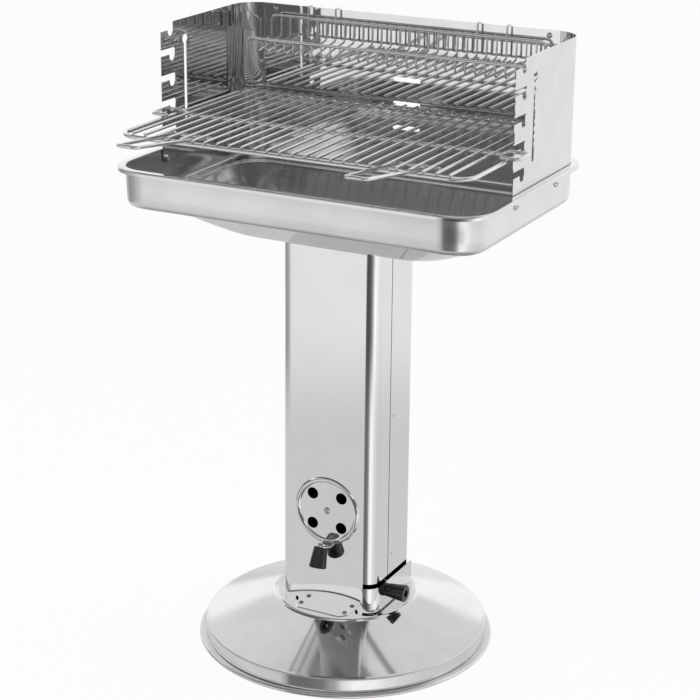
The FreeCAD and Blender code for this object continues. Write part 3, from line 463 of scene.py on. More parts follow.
def makeBase(b):
    sheet, skirt, skirtTop, rimTop = b["sheet"], b["skirt"], b["skirtTop"], b["rimHeight"]
    line = [(skirt + sheet, rimTop), (skirt, skirtTop), (skirt + b["bead"], skirtTop + b["bead"]), b["coneFoot"],
            b["coneTop"], b["seatBead"], b["seat"], (0, b["seat"][1])]
    path = bendPath(line, [0, 0, 1.5, 4.0, 4.0, 2.0, 1.5, 0], fine=10)
    inner = sideStep(path, -yAxis, sheet)
    inner[-1].x = 0
    rimInside = b["radius"] - b["rimWidth"]
    inner[0] = Vector((rimInside - sheet, 0, rimTop - sheet))
    # the rolled rim ends in a narrow groove at the foot of the skirt
    foot, low = skirt + sheet - 0.2, rimTop - b["grooveDepth"]
    far = foot + b["groove"]
    rim = bendPath([(rimInside, 0), (b["radius"], 0), (b["radius"], rimTop), (far, rimTop), (far - 0.2, low),
                    (foot, low)], [0, b["rimRound"], b["rimRound"], 0.7, 0.3, 0], fine=12)
    bm = turned(rim + path[1:] + inner[::-1], steps=256)
    for side in (-1, 1):
        makeRunner(bm, b, side * b["runnerY"])
    finishPiece(makeObject("base_spun_sheet", bm), spunStainless, "base_cone")


makeBase(base)
print("base made")


# Column: two bent shells with flanges at the foot

column = {
    "sheet": 1.0, "halfX": 69.4, "halfY": 55.6, "corner": 16.0, "bottom": 60.0, "top": 558.0,
    "seam": -16.2, "slit": 1.6, "tongue": 18.0, "tongueRoot": 9.0, "tongueGap": 0.3,
    "footHalfX": 40.0, "footLength": 26.0, "footChamfer": 9.0, "footBreak": 0.8,
    "reliefRadius": 2.2, "reliefOffset": 5.0,
    "openingRear": 50.0, "openingFront": 54.0, "openingHeight": 43.0,
    "seamScrews": (131.5, 329.5), "seamScrewSetback": 9.7,
    "footScrewX": 33.0, "footScrewReach": 12.0,
    "headHalfX": 44.0, "headLength": 13.0, "headScrewX": 34.0, "headScrewReach": 8.5, "bowlFloor": 1.0,
}
vent = {
    "height": 198.0, "radius": 46.5, "sheet": 1.0, "beadWidth": 6.2, "beadPeak": 3.6, "beadRound": 2.8,
    "hole": 8.0, "holeCircle": 30.0,
    "tabRise": 1.6, "tabWidth": 16.0, "tabDrop": 5.0, "tabLength": 25.0, "tabTilt": 20.0, "tabBend": 2.0,
    "tabCorner": 5.0, "knobReach": 17.0, "restGap": 0.3,
}


def ventHoles():
    reach = vent["holeCircle"] * sqrt(0.5)
    return rectangle(-reach, reach, -reach, reach)


def footFlange(c, side):
    # bent out from the wall's foot, with its two outer corners cut off and its upper edge broken at 45 degrees
    wall, high = side * c["halfY"], c["bottom"] + c["sheet"]
    rows = []
    for inset, z in ((0, c["bottom"]), (0, high - c["footBreak"]), (c["footBreak"], high)):
        edge, tip = c["footHalfX"] - inset, wall + side * (c["footLength"] - inset)
        cut = c["footChamfer"] - inset * 0.4
        shoulder = tip - side * cut
        rows.append([(-edge, wall, z), (-edge, shoulder, z), (cut - edge, tip, z), (edge - cut, tip, z),
                     (edge, shoulder, z), (edge, wall, z)])
    return loft(rows)


def columnShell(name, c, side, seam):
    # side is -1 for the front shell, which also has the vent's holes and the tongues, and 1 for the rear one
    bottom, top, sheet, depth, radius = c["bottom"], c["top"], c["sheet"], c["halfY"], c["corner"]
    start, end, wall = -side * c["halfX"], side * c["halfX"], side * depth
    line = [(start, seam, bottom), (start, wall, bottom), (end, wall, bottom), (end, seam, bottom)]
    made = foldedSheet(name, line, [0, radius, radius, 0], zAxis * (top - bottom), sheet, 5)
    openHigh = bottom + c["openingHeight"]
    edge, bendStart = c["halfX"] + 2, c["halfX"] - radius
    opening = [(c["openingFront"], -depth - 2), (edge, -depth - 2), (edge, c["openingRear"]),
               (bendStart, c["openingRear"]), (bendStart, 0), (c["openingFront"], 0)]
    cutters = prism([(x, y, bottom - 1) for x, y in opening], zAxis * (c["openingHeight"] + 1))
    relief, radius = c["footHalfX"] + c["reliefOffset"], c["reliefRadius"]
    for x in (-relief, relief):
        rod((x, side * (depth - 3), bottom + radius / 2), yAxis * side * 6, radius, 20, cutters)
    if side < 0:
        for x, z in ventHoles():
            rod((x, -depth - 2, vent["height"] + z), yAxis * 5, vent["hole"], 48, cutters)
    cutAway(made, cutters)
    extra = footFlange(c, side)
    head = rectangle(-c["headHalfX"], c["headHalfX"], side * (depth - sheet / 2),
                     side * (depth - sheet - c["headLength"]))
    prism([(x, y, top - sheet) for x, y in head], zAxis * sheet, extra)
    if side < 0:
        inside = c["halfX"] - 2 * sheet - c["tongueGap"]
        low, high = openHigh + sheet, top - 2 * sheet
        for sign in (-1, 1):
            bentSheet([(sign * inside, c["seam"] + reach, low) for reach in (-c["tongueRoot"], c["tongue"])],
                      zAxis * (high - low), -sign * sheet, extra)
    joinInto(made, makeObject(name + "_flanges", extra))
    return made


def millSideAndPaintedShadeInside(made, c):
    # faces that look at the column's axis, and the tongues behind the seams, keep the mill finish, darkened as
    # painted shade
    made.data.materials.append(millSideWithPaintedShade)
    tongue = (c["halfX"] - 1.5 * c["sheet"]) * mm
    for face in made.data.polygons:
        inward = face.normal.x * face.center.x + face.normal.y * face.center.y < -0.005
        behind = abs(face.normal.x) > 0.9 and abs(face.center.x) < tongue
        if inward or behind:
            # the dark grey paints the shade inside the column and in the seam's slit
            face.material_index = 1


def makeColumn(c):
    for half, side, seam in (("front", -1, c["seam"]), ("rear", 1, c["seam"] + c["slit"])):
        made = columnShell("column_" + half + "_sheet", c, side, seam)
        finishPiece(made, satinStainless, "column_" + half + "_shell")
        millSideAndPaintedShadeInside(made, c)


def columnScrews(c):
    y = c["seam"] + c["seamScrewSetback"]
    seams = [((sign * c["halfX"], y, z), xAxis * sign) for sign in (-1, 1) for z in c["seamScrews"]]
    fasteners("seam_screws", screwMesh(smallScrew, 5.3), seams, "column_seam_screws")
    footY, headY = c["halfY"] + c["footScrewReach"], c["halfY"] - c["sheet"] - c["headScrewReach"]
    low, high = c["top"] - c["sheet"], c["top"] + c["bowlFloor"]
    for name, mesh, x, y, z, out, cadNode in (
            ("foot_flange_screws", screwMesh(smallScrew, 5.2), c["footScrewX"], footY, c["bottom"] + c["sheet"],
             zAxis, "foot_screws"),
            ("bowl_fixing_screws", screwMesh(smallScrew, 6.2), c["headScrewX"], headY, high, zAxis, "bowl_screws"),
            ("bowl_fixing_nuts", nutMesh(smallScrew), c["headScrewX"], headY, low, -zAxis, "bowl_nuts")):
        fasteners(name, mesh, [((sx * x, sy * y, z), out) for sx in (-1, 1) for sy in (-1, 1)], cadNode)


makeColumn(column)
columnScrews(column)
print("column made")


# Air vent

def roundTab(made, v, root, tip):
    # rounds the two corners of the tab's free end
    down, radius = (root - tip).normalized(), v["tabCorner"]
    for sign in (-1, 1):
        corner, inward = Vector((sign * v["tabWidth"] / 2, tip.y, tip.z)), -xAxis * sign
        normal = inward.cross(down)
        loop = [corner - inward * 2 - down * 2, corner - inward * 2 + down * radius]
        loop += [corner + inward * radius * (1 - cos(a)) + down * radius * (1 - sin(a))
                 for a in [pi / 2 * i / 8 for i in range(9)]]
        loop.append(corner + inward * radius - down * 2)
        cutAway(made, prism([p - normal * 3 for p in loop], normal * 6))


def makeVent(v):
    face = -column["halfY"] - v["restGap"]
    toFront = Matrix.Translation((0, face * mm, v["height"] * mm)) @ Matrix.Rotation(pi / 2, 4, "X")
    radius, half = v["radius"], v["beadWidth"] / 2
    path = bendPath([(0, 0), (radius - 2 * half, 0), (radius - half, v["beadPeak"]), (radius, 0)],
                    [0, 1.0, v["beadRound"], 0], fine=9)
    outer = sideStep(path, -yAxis, v["sheet"])
    outer[0].x = 0
    disc = makeObject("vent_plate", turned(path + outer[::-1], closed=False, steps=256))
    for x, y in ventHoles():
        cutAway(disc, rod((x, y, -1), zAxis * 4, v["hole"], 48))
    tilt, drop = radians(v["tabTilt"]), -radius - v["tabDrop"]

    def alongTab(reach):
        return Vector((0, drop + reach * sin(tilt), v["tabRise"] + reach * cos(tilt)))

    line = [Vector((0, half - radius, v["tabRise"])), alongTab(0), alongTab(v["tabLength"])]
    path = [p - xAxis * v["tabWidth"] / 2 for p in bendPath(line, [0, v["tabBend"], 0], fine=10)]
    tab = makeObject("vent_tab", bentSheet(path, xAxis * v["tabWidth"], -v["sheet"]))
    roundTab(tab, v, line[1], line[2])
    joinInto(disc, tab)
    disc.data.transform(toFront)
    finishPiece(disc, polishedStainless, "vent_disc", "air_vent")
    turnOnly = toFront.to_3x3()
    seat = turnOnly @ alongTab(v["knobReach"]) + Vector((0, face, v["height"]))
    makeKnob("vent_grip", "air_vent", "vent_knob", seat, turnOnly @ Vector((0, -cos(tilt), sin(tilt))),
             v["sheet"], 5.2)
    pivot = (0, face - v["sheet"] - 0.05, v["height"])
    fasteners("vent_pivot", screwMesh(bolt, 6.5), [(pivot, -yAxis)], "vent_pivot_screw")
    inside = (0, column["sheet"] - column["halfY"], v["height"])
    fasteners("vent_pivot_nut_inside", nutMesh(bolt), [(inside, yAxis)], "vent_pivot_nut")


makeVent(vent)
print("vent made")


# Ash drawer

drawer = {
    "sheet": 0.8, "bottom": 61.6, "height": 31.0, "sideGap": 4.0, "corner": 8.0, "frontCorner": 11.0,
    "restGap": 0.3, "faceSheet": 1.0, "faceGap": 2.0, "faceBottom": 62.2, "faceHeight": 35.0, "faceRear": 54.0,
    "faceFront": 52.0, "handleY": -20.0, "handleZ": 84.0,
}


def makeDrawer(d):
    wallIn = column["halfY"] - column["sheet"] - d["sideGap"]
    left = -column["halfX"] + column["sheet"] + d["sideGap"]
    rear = column["openingRear"] - d["sideGap"]
    faceX = column["halfX"] + d["faceGap"]
    right = faceX - d["restGap"]
    sheet, height, rows = d["sheet"], d["height"], []
    # inset and rise of each row: the rounded foot, the wall, its top edge, and down again inside
    for inset, rise in ((1.5, 0), (0.5, 0.4), (0, 1.5), (0, height), (sheet, height), (sheet, 2.0), (1.5, 1.1),
                        (2.5, sheet)):
        loop = rectangle(left + inset, right - inset, inset - wallIn, rear - inset)
        radii = [max(corner - inset, 0.5) for corner in [d["frontCorner"]] + [d["corner"]] * 3]
        rows.append(bendPath([(x, y, d["bottom"] + rise) for x, y in loop], radii, True, 8))
    finishPiece(makeObject("ash_pan", loft(rows)), polishedStainless, "ash_drawer_tray", "ash_drawer")

    out = d["faceGap"] + d["faceSheet"]
    front, side, low = -column["halfY"] - out, column["halfX"] + out, d["faceBottom"]
    line = [(d["faceFront"], front, low), (side, front, low), (side, d["faceRear"], low)]
    made = foldedSheet("ash_drawer_front", line, [0, column["corner"] + out, 0], zAxis * d["faceHeight"],
                       d["faceSheet"], 4)
    finishPiece(made, polishedStainless, "ash_drawer_face", "ash_drawer")
    makeKnob("ash_drawer_grip", "ash_drawer", "ash_drawer_handle", Vector((side, d["handleY"], d["handleZ"])),
             xAxis, 2.1, 6.3)


makeDrawer(drawer)
print("drawer made")


# Fire bowl: one drawn sheet

bowl = {
    "sheet": 1.0, "halfX": 258.5, "halfY": 176.5, "corner": 48.0, "rim": 658.0, "lipWidth": 9.5,
    "lipSkirt": 5.6, "lipRound": 2.5, "lipInside": 1.6, "draft": 2.0, "ledge": 606.0, "ledgeHalfX": 229.0,
    "ledgeHalfY": 132.0, "ledgeCorner": 46.0, "ledgeBend": 8.0, "slopeBend": 14.0, "slopeCorner": 42.0,
    "floor": 558.0, "floorHalfX": 160.0, "floorHalfY": 60.0, "floorCorner": 42.0,
    "endBend": 110.0, "sideBend": 30.0, "throatHalfX": 48.0, "throatHalfY": 30.0, "throatCorner": 8.0,
    "easedReach": 1.35,     # how many times as far as a round corner of the same depth the eased one reaches
}


def easedCorner(steps):
    # a quarter turn whose bend grows and fades evenly, as drawn sheet takes it, over a reach of 1
    spots, fine = [Vector((0, 0, 0))], 8
    for i in range(steps * fine):
        angle = pi / 4 * (1 - cos(pi * (i + 0.5) / (steps * fine)))
        spots.append(spots[-1] + Vector((cos(angle), sin(angle), 0)))
    return [spot / spots[-1].x for spot in spots[::fine]]


cornerLine = easedCorner(20)


def rectangleRing(halfX, halfY, corner, height):
    reach = corner * bowl["easedReach"]
    quarter = [Vector((halfX - reach + reach * p.x, reach * p.y - halfY, height)) for p in cornerLine]
    right = quarter + [Vector((p.x, -p.y, height)) for p in reversed(quarter)]
    return right + [Vector((-p.x, -p.y, height)) for p in right]


def slopeReach(rise, run, bend, depth):
    # how far out the hopper's slope has come at this rise
    angle = atan2(depth, run)
    if rise < bend * (1 - cos(angle)):
        return sqrt(bend ** 2 - (bend - rise) ** 2) - bend * tan(angle / 2)
    return rise * run / depth


def bowlSkin(b, t):
    # rows of half sizes, corner and height from the rim's inner edge down to the flat floor, for the
    # skin that lies t inside the outer one
    rim, ledge, steps = b["rim"], b["ledge"] + t, 8
    wall = [b[key] - b["lipWidth"] - t for key in ("halfX", "halfY", "corner")]
    rows = [(*wall, rim - (0 if t else b["sheet"]))]
    bend = b["ledgeBend"] - t
    bendTop = ledge + bend
    # down the drafted wall and round the bend at its foot
    down = [(b["draft"] * (rim - bendTop) * i / 4 / (rim - b["ledge"]), rim - (rim - bendTop) * i / 4)
            for i in range(1, 5)]
    for i in range(1, steps + 1):
        angle = pi / 2 * i / steps
        down.append((b["draft"] + bend * (1 - cos(angle)), bendTop - bend * sin(angle)))
    rows += [(wall[0] - inset, wall[1] - inset, max(wall[2] - inset, 3), z) for inset, z in down]
    drop = b["ledge"] - b["floor"]
    runX, runY = b["ledgeHalfX"] - b["floorHalfX"], b["ledgeHalfY"] - b["floorHalfY"]
    bend = b["slopeBend"] + t
    angleX, angleY = atan2(drop, runX), atan2(drop, runY)
    # over the ledge into the hopper
    for i in range(steps + 1):
        share = i / steps
        outX, outY = [b[key] + bend * (tan(angle / 2) - sin(angle * share))
                      for key, angle in (("ledgeHalfX", angleX), ("ledgeHalfY", angleY))]
        rows.append((outX, outY, b["ledgeCorner"] + (b["slopeCorner"] - b["ledgeCorner"]) * share,
                     ledge - bend * (1 - cos((angleX + angleY) * share / 2))))
    lowRise, steps = rows[-1][3] - t - b["floor"], 14
    # down the hopper, in rows that close up towards the floor
    for i in range(1, steps + 1):
        rise = lowRise * (1 - i / steps) ** 1.6
        rows.append((b["floorHalfX"] + slopeReach(rise, runX, b["endBend"], drop),
                     b["floorHalfY"] + slopeReach(rise, runY, b["sideBend"], drop),
                     b["floorCorner"] + (b["slopeCorner"] - b["floorCorner"]) * rise / lowRise,
                     b["floor"] + t + rise))
    return rows


def makeBowl(b):
    t, rim, bend, lip = b["sheet"], b["rim"], b["lipInside"], b["lipRound"]
    inside, outside = bowlSkin(b, t), bowlSkin(b, 0)
    throat = (b["throatHalfX"], b["throatHalfY"], b["throatCorner"])
    rows = [(*throat, b["floor"] + t)] + inside[:0:-1]
    # over the lip, which turns out and down
    for i in range(7):
        angle = pi / 2 * i / 6
        grow = bend * (1 - cos(angle))
        rows.append((*[size + grow for size in inside[0][:3]], rim - bend * (1 - sin(angle))))
    edge = [(lip * (1 - sin(angle)), rim - lip * (1 - cos(angle)))
            for angle in [pi / 2 * i / 8 for i in range(9)]]
    edge += [(0, rim - b["lipSkirt"]), (t, rim - b["lipSkirt"]), (t, rim - lip), (lip, rim - t),
             (b["lipWidth"] - 0.3, rim - t)]
    rows += [(b["halfX"] - inset, b["halfY"] - inset, b["corner"] - inset, z) for inset, z in edge]
    rows += outside[1:] + [(*throat, b["floor"])]
    made = makeObject("fire_bowl_sheet", loft([rectangleRing(*row) for row in rows], capped=False))
    finishPiece(made, drawnStainless, "fire_bowl", sharp=40)


makeBowl(bowl)


# Ash grate: a folded plate with slots

grate = {
    "halfX": 57.0, "halfY": 39.0, "low": 559.3, "sheet": 1.5, "upstand": 6.0, "bend": 2.5,
    "slots": 8, "pitch": 11.0, "slotHalfX": 3.0, "slotHalfY": 28.0,
}


def spread(count, pitch):
    # places at even steps to both sides of the middle
    return [(i - (count - 1) / 2) * pitch for i in range(count)]


def roundSlot(loop, radius, lift, fine):
    # a cutter for a slot with round ends, which are kept just short of meeting
    return prism(bendPath(loop, [radius - 0.05] * 4, True, fine), lift)


def makeGrate(g):
    x, y, low, top = -g["halfX"], g["halfY"], g["low"], g["low"] + g["upstand"]
    line = [(x, -y, top), (x, -y, low), (x, y, low), (x, y, top)]
    made = foldedSheet("ash_grate_plate", line, [0, g["bend"], g["bend"], 0], -xAxis * 2 * x, g["sheet"], 10)
    w, h = g["slotHalfX"], g["slotHalfY"]
    for middle in spread(g["slots"], g["pitch"]):
        loop = [(u, v, low - 1) for u, v in rectangle(middle - w, middle + w, -h, h)]
        cutAway(made, roundSlot(loop, w, zAxis * (g["sheet"] + 2), 20))
    finishPiece(made, polishedStainless, "ash_grate", "loose_grate")


makeGrate(grate)
print("bowl and ash grate made")


# Windshield

shield = {
    "sheet": 1.0, "halfX": 247.05, "halfY": 165.05, "corner": 36.5, "front": -54.0, "bottom": 639.2,
    "top": 820.0, "stepTop": 810.0, "flapEnd": 185.0, "lapGap": 0.3, "rearHalfX": 214.5,
    "hooks": 4, "hookPitch": 33.2, "hookBottom": 769.3, "hookWidth": 13.0, "hookRear": -21.0,
    "hookMouthRise": 9.0, "hookMouthHeight": 8.0,
    "spitFront": -37.0, "spitRear": -24.5, "spitBottom": 802.0,
    "keyY": 4.5, "keyRadius": 6.2, "keyZ": 793.0, "keySlot": 6.0, "keySlotBottom": 688.0,
    "slotHalf": 20.0, "slotHeight": 5.8, "slotLevels": (735.0, 702.5, 670.0),
    "boltZ": 643.6, "boltFront": -46.0, "boltRear": 81.7, "boltStandOff": 0.3,
    "jointX": 199.75, "jointLevels": (672.0, 813.0),
}
shield["rearBack"] = shield["halfY"] - shield["sheet"] - shield["lapGap"]
shield["rearFront"] = shield["rearBack"] - shield["sheet"]


def notchLoop(front, near, rear, bottom, mouth, top, mouthBend, topBend):
    # in from the front edge, then down to a round seat
    seat = (rear - near) / 2 - 0.05
    points = [(front, mouth), (near, mouth), (near, bottom), (rear, bottom), (rear, top), (front, top)]
    return points, [0, mouthBend, seat, seat, topBend, 0]


def keyLoop(s):
    # round head with a narrow slot below it
    half, radius, low, count = s["keySlot"] / 2, s["keyRadius"], s["keySlotBottom"], 24
    start = asin(half / radius)
    points = [(s["keyY"] - half, low), (s["keyY"] + half, low)]
    for i in range(count + 1):
        angle = -pi / 2 + start + (tau - 2 * start) * i / count
        points.append((s["keyY"] + radius * cos(angle), s["keyZ"] + radius * sin(angle)))
    return points, [half - 0.05] * 2 + [0] * (count + 1)


def makeShieldSide(s, sign, side):
    line = [(sign * x, y, s["bottom"]) for x, y in ((s["halfX"], s["front"]), (s["halfX"], s["halfY"]),
                                                    (s["flapEnd"], s["halfY"]))]
    made = foldedSheet("windshield_side_" + side, line, [0, s["corner"], 0], zAxis * (s["top"] - s["bottom"]),
                       sign * s["sheet"], 4)
    start, front, mouth = sign * (s["halfX"] - 4), s["front"] - 2, s["hookMouthRise"]
    loops = [notchLoop(front, s["hookRear"] - s["hookWidth"], s["hookRear"], seat, seat + mouth,
                       seat + mouth + s["hookMouthHeight"], 1.5, 2.5)
             for seat in [s["hookBottom"] - i * s["hookPitch"] for i in range(s["hooks"])]]
    loops.append(notchLoop(front, s["spitFront"], s["spitRear"], s["spitBottom"], s["stepTop"], s["top"] + 2, 1.0, 0))
    for points, bends in loops + [keyLoop(s)]:
        cutAway(made, prism(bendPath([(start, y, z) for y, z in points], bends, True, 12), xAxis * sign * 7))
    finishPiece(made, polishedStainless, "windshield_" + side)


def makeShieldRear(s):
    line = [(x, s["rearBack"], s["bottom"]) for x in (s["rearHalfX"], -s["rearHalfX"])]
    made = makeObject("windshield_back_wall", bentSheet(line, zAxis * (s["top"] - s["bottom"]), s["sheet"]))
    half, high = s["slotHalf"], s["slotHeight"] / 2
    for level in s["slotLevels"]:
        loop = [(x, s["rearFront"] - 2, z) for x, z in rectangle(-half, half, level - high, level + high)]
        cutAway(made, roundSlot(loop, high, yAxis * 5, 15))
    finishPiece(made, polishedStainless, "windshield_rear")


def fixShield(s):
    # bolts through the bowl's wall, one behind and two on each side, and screws where the rear wall laps the sides
    inside, z = s["halfX"] - s["sheet"], s["boltZ"]
    draft = bowl["draft"] * (bowl["rim"] - z) / (bowl["rim"] - bowl["ledge"])
    outX, outY = [bowl[key] - bowl["lipWidth"] - draft + s["boltStandOff"] for key in ("halfX", "halfY")]
    sides = [(sign, y) for sign in (-1, 1) for y in (s["boltFront"], s["boltRear"])]
    bolts = [((sign * outX, y, z), xAxis * sign) for sign, y in sides] + [((0, outY, z), yAxis)]
    nuts = [((sign * inside, y, z), -xAxis * sign) for sign, y in sides] + [((0, s["rearFront"], z), -yAxis)]
    fasteners("windshield_fixing_bolts", screwMesh(bolt, 8.5), bolts, "windshield_bolts")
    fasteners("windshield_fixing_nuts", nutMesh(bolt), nuts, "windshield_nuts")
    joints = [Vector((sign * s["jointX"], s["rearFront"], level)) for sign in (-1, 1) for level in s["jointLevels"]]
    grip = yAxis * (2 * s["sheet"] + s["lapGap"])
    fasteners("windshield_corner_screws", screwMesh(smallScrew, 7.0), [(p, -yAxis) for p in joints],
              "windshield_joint_screws")
    fasteners("windshield_corner_nuts", nutMesh(smallScrew), [(p + grip, yAxis) for p in joints],
              "windshield_joint_nuts")


makeShieldSide(shield, -1, "left")
makeShieldSide(shield, 1, "right")
makeShieldRear(shield)
fixShield(shield)
print("windshield made")


# Cooking grid: welded wires

grid = {
    "halfX": 239.0, "front": -169.0, "rear": 143.0, "corner": 25.0, "frame": 3.0, "bar": 2.0, "bars": 26,
    "pitch": 17.3, "rearOverhang": 2.0, "frontOverhang": 1.0, "cross": 2.5, "earReach": 257.0,
    "earFront": -63.0, "earInner": 232.0, "earRamp": 11.0, "earTurn": 8.0, "earBend": 6.0,
    "handle": 2.5, "root": -132.0, "tip": -281.0, "handleBend": 7.0,
    "loop": (138.0, 165.5, 134.5, 176.0),   # half widths: near leg and far leg at the tip, and at the root
    "rootWire": 2.0, "rootEnds": ((20, -6.0), (23, 6.0)),   # the bars that it ends beside, and how far past them
    "sink": 0.3, "earZ": 705.7,
}
grid["frameZ"] = grid["earZ"] - grid["cross"] - grid["frame"] + grid["sink"]
grid["barZ"] = grid["frameZ"] + grid["frame"] + grid["bar"] - grid["sink"]
grid["crossZ"] = grid["barZ"] - grid["bar"] - grid["cross"] + grid["sink"]
grid["earRear"] = shield["hookRear"] - shield["hookWidth"] / 2


def makeGrid(g):
    body, bend, turn, ramp = "cooking_grid", g["handleBend"], g["earTurn"], g["earBend"]
    loop = [(x, y, g["frameZ"]) for x, y in rectangle(-g["halfX"], g["halfX"], g["front"], g["rear"])]
    makeWires("grid_outer_wire", [bendPath(loop, [g["corner"]] * 4, True)], g["frame"], body, "grid_frame", True)
    places = spread(g["bars"], g["pitch"])
    ends = (g["rear"] + g["rearOverhang"], g["front"] - g["frontOverhang"])
    runs = [[(x, y, g["barZ"]) for y in ends] for x in places]
    makeWires("grid_bar_wires", runs, g["bar"], body, "grid_bars")
    inner, reach, high = g["earInner"], g["earReach"], g["earZ"]
    right = [(inner - g["earRamp"], g["earRear"], g["crossZ"]), (inner, g["earRear"], high),
             (reach, g["earRear"], high), (reach, g["earFront"], high), (inner, g["earFront"], high)]
    left = [(-x, y, z) for x, y, z in reversed(right)]
    makeWires("grid_under_wire", [bendPath(left + right, [0, turn, turn] + [ramp] * 4 + [turn, turn, 0])],
              g["cross"], body, "grid_cross_wire")
    # each loop rises in one straight slope from its root wire, over the frame, to its tip
    nearTip, farTip, nearRoot, farRoot = g["loop"]
    rootZ = g["barZ"] - g["bar"] - g["rootWire"] + g["sink"]
    overFrame = g["frameZ"] + g["frame"] + g["handle"] - g["sink"]
    end = g["root"] - g["rootWire"] + g["sink"]
    tipZ = rootZ + (overFrame - rootZ) * (g["tip"] - end) / (g["front"] - end)
    roots = []
    for sign, side in ((-1, "left"), (1, "right")):
        points = [(sign * nearRoot, end, rootZ), (sign * nearTip, g["tip"], tipZ), (sign * farTip, g["tip"], tipZ),
                  (sign * farRoot, end, rootZ)]
        makeWires("grid_lifting_loop_" + side, [bendPath(points, [0, bend, bend, 0])], g["handle"], body,
                  "grid_handle_" + side)
        roots.append([(sign * (places[i] + past), g["root"], rootZ) for i, past in g["rootEnds"]])
    makeWires("grid_loop_root_wires", roots, g["rootWire"], body, "grid_handle_roots")


makeGrid(grid)
print("grid made")


# Warming rack

rack = {
    "bar": 2.0, "wire": 1.25, "wires": 28, "pitch": 13.78, "hooks": (7, 10), "halfX": 199.75, "endDrop": 27.0,
    "endBend": 8.0, "wallGap": 8.0, "barZ": 806.0, "floorRear": 779.0, "floorFront": 767.0, "frontZ": 785.5,
    "depth": 70.0, "hookDrop": 14.0, "sink": 0.3, "wireBend": 4.0, "hookTip": 1.3, "hookBend": 2.5, "restGap": 0.3,
}
rack["wireY"] = shield["rearFront"] - rack["wallGap"]
rack["frontY"] = rack["wireY"] - rack["depth"]


def makeRack(r):
    body, w, y, bend = "warming_rack", r["halfX"], r["wireY"], r["wireBend"]
    weld = r["wire"] + r["bar"] - r["sink"]
    for name, barY, z, drop, cadNode in (
            ("rack_upper_bar", y - weld, r["barZ"], r["endDrop"], "rack_rear_bar"),
            ("rack_lower_bar", r["frontY"], r["frontZ"], r["frontZ"] - r["floorFront"], "rack_front_bar")):
        points = [(-w, barY, z - drop), (-w, barY, z), (w, barY, z), (w, barY, z - drop)]
        makeWires(name, [bendPath(points, [0, r["endBend"], r["endBend"], 0])], r["bar"], body, cadNode)
    lip, behind = r["frontY"] + weld, shield["rearBack"] + r["restGap"] + r["wire"]
    top = shield["top"] + r["restGap"] + r["wire"]

    def wire(x, head, bends):
        # down from its head, forward along the rack's floor, and up behind the front bar
        points = head + [(y, r["floorRear"]), (lip, r["floorFront"]), (lip, r["frontZ"] + r["bar"])]
        return bendPath([(x, v, z) for v, z in points], [0] + bends + [bend, bend, 0], fine=10)

    hookXs = [sign * (place + 0.5) * r["pitch"] for place in r["hooks"] for sign in (-1, 1)]
    plainXs = [x for x in spread(r["wires"], r["pitch"]) if min(abs(x - h) for h in hookXs) > r["pitch"] / 2]
    makeWires("rack_plain_wires", [wire(x, [(y, r["barZ"] + r["bar"])], []) for x in plainXs], r["wire"], body,
              "rack_wires")
    hook = [(behind, top - r["hookDrop"]), (behind, top), (y, top)]
    makeWires("rack_hooked_wires", [wire(x, hook, [r["hookTip"], r["hookBend"]]) for x in hookXs], r["wire"], body,
              "rack_hook_wires")


makeRack(rack)
print("rack made")


# Studio: pale floor, soft surroundings, one large lamp

studio = {
    "floorColour": "#F4F4F4", "floorHalf": 12.0, "floorGlow": 0.94, "floorDrop": 0.0004,
    "lampPlace": (-1.3, -1.7, 2.5), "lampAim": (0, 0, 0.45), "lampSize": 1.6, "lampPower": 26.0,
    # how bright the walls are, by degrees from straight in front towards the right: low down, where the column
    # looks, higher, where the bowl looks, and near eye level, where the windshield and the wires look
    "walls": (
        [(-180, 0.82), (-26, 0.82), (-22, 0.6), (-17, 0.22), (-5, 0.2), (8, 0.25), (18, 0.5), (27, 1.1), (35, 1.35),
         (50, 1.3), (62, 1.05), (75, 0.95), (92, 0.86), (110, 0.82), (180, 0.82)],
        [(-180, 0.82), (-150, 0.82), (-110, 0.5), (-90, 0.3), (-70, 0.36), (-50, 0.52), (-36, 0.78), (-26, 0.84),
         (-22, 0.6), (-17, 0.12), (-8, 0.08), (8, 0.08), (18, 0.13), (30, 0.24), (41, 0.52), (51, 0.95),
         (60, 1.15), (80, 0.9), (110, 0.8), (180, 0.82)],
        [(-180, 0.82), (-170, 0.82), (-122, 0.5), (-98, 0.3), (-74, 0.36), (-50, 0.52), (-33, 0.8), (-21, 0.86),
         (-16, 0.6), (-10, 0.12), (0, 0.08), (20, 0.08), (32, 0.13), (46, 0.24), (60, 0.52), (72, 0.95),
         (82, 1.15), (106, 0.9), (142, 0.8), (180, 0.81)],
    ),
    # and the ceiling in front and behind, by the sine of the angle above level
    "ceilings": (
        [(0.0, 0.35), (0.08, 0.18), (0.34, 0.18), (0.41, 0.95), (0.5, 0.95), (0.6, 0.3), (0.7, 0.12), (0.92, 0.12),
         (1.0, 0.9)],
        [(0.0, 1.05), (0.3, 1.05), (0.45, 0.8), (0.9, 0.75), (1.0, 0.9)],
    ),
    # from where to where along an axis each change is spread, and its value at either end
    "changes": {
        "bowlLevel": (2, -0.37, -0.32, 0.0, 1.0), "eyeLevel": (2, -0.3, -0.25, 0.0, 1.0),
        "wallLight": (2, -0.37, -0.31, 0.86, 1.12), "rear": (1, 0.08, 0.28, 0.0, 1.0),
        "overhead": (2, -0.04, 0.08, 0.0, 1.0), "below": (2, -0.7, -0.5, 1.0, 0.0),
        "ownShade": (2, -0.92, -0.68, 0.32, 0.62),      # straight below, where the object stands in its own shade
    },
}


def whiteToCamera(tree, shown, kind, share):
    # the camera sees this share of plain white over the shader that lights the object
    mix = node(tree, "Math", {1: share}, {0: node(tree, "LightPath")["Is Camera Ray"]}, {"operation": "MULTIPLY"})
    white = node(tree, kind, {"Color": (1, 1, 1, 1), "Strength": 1.0})
    return node(tree, "MixShader", {}, {0: mix[0], 1: shown, 2: white[0]})[0]


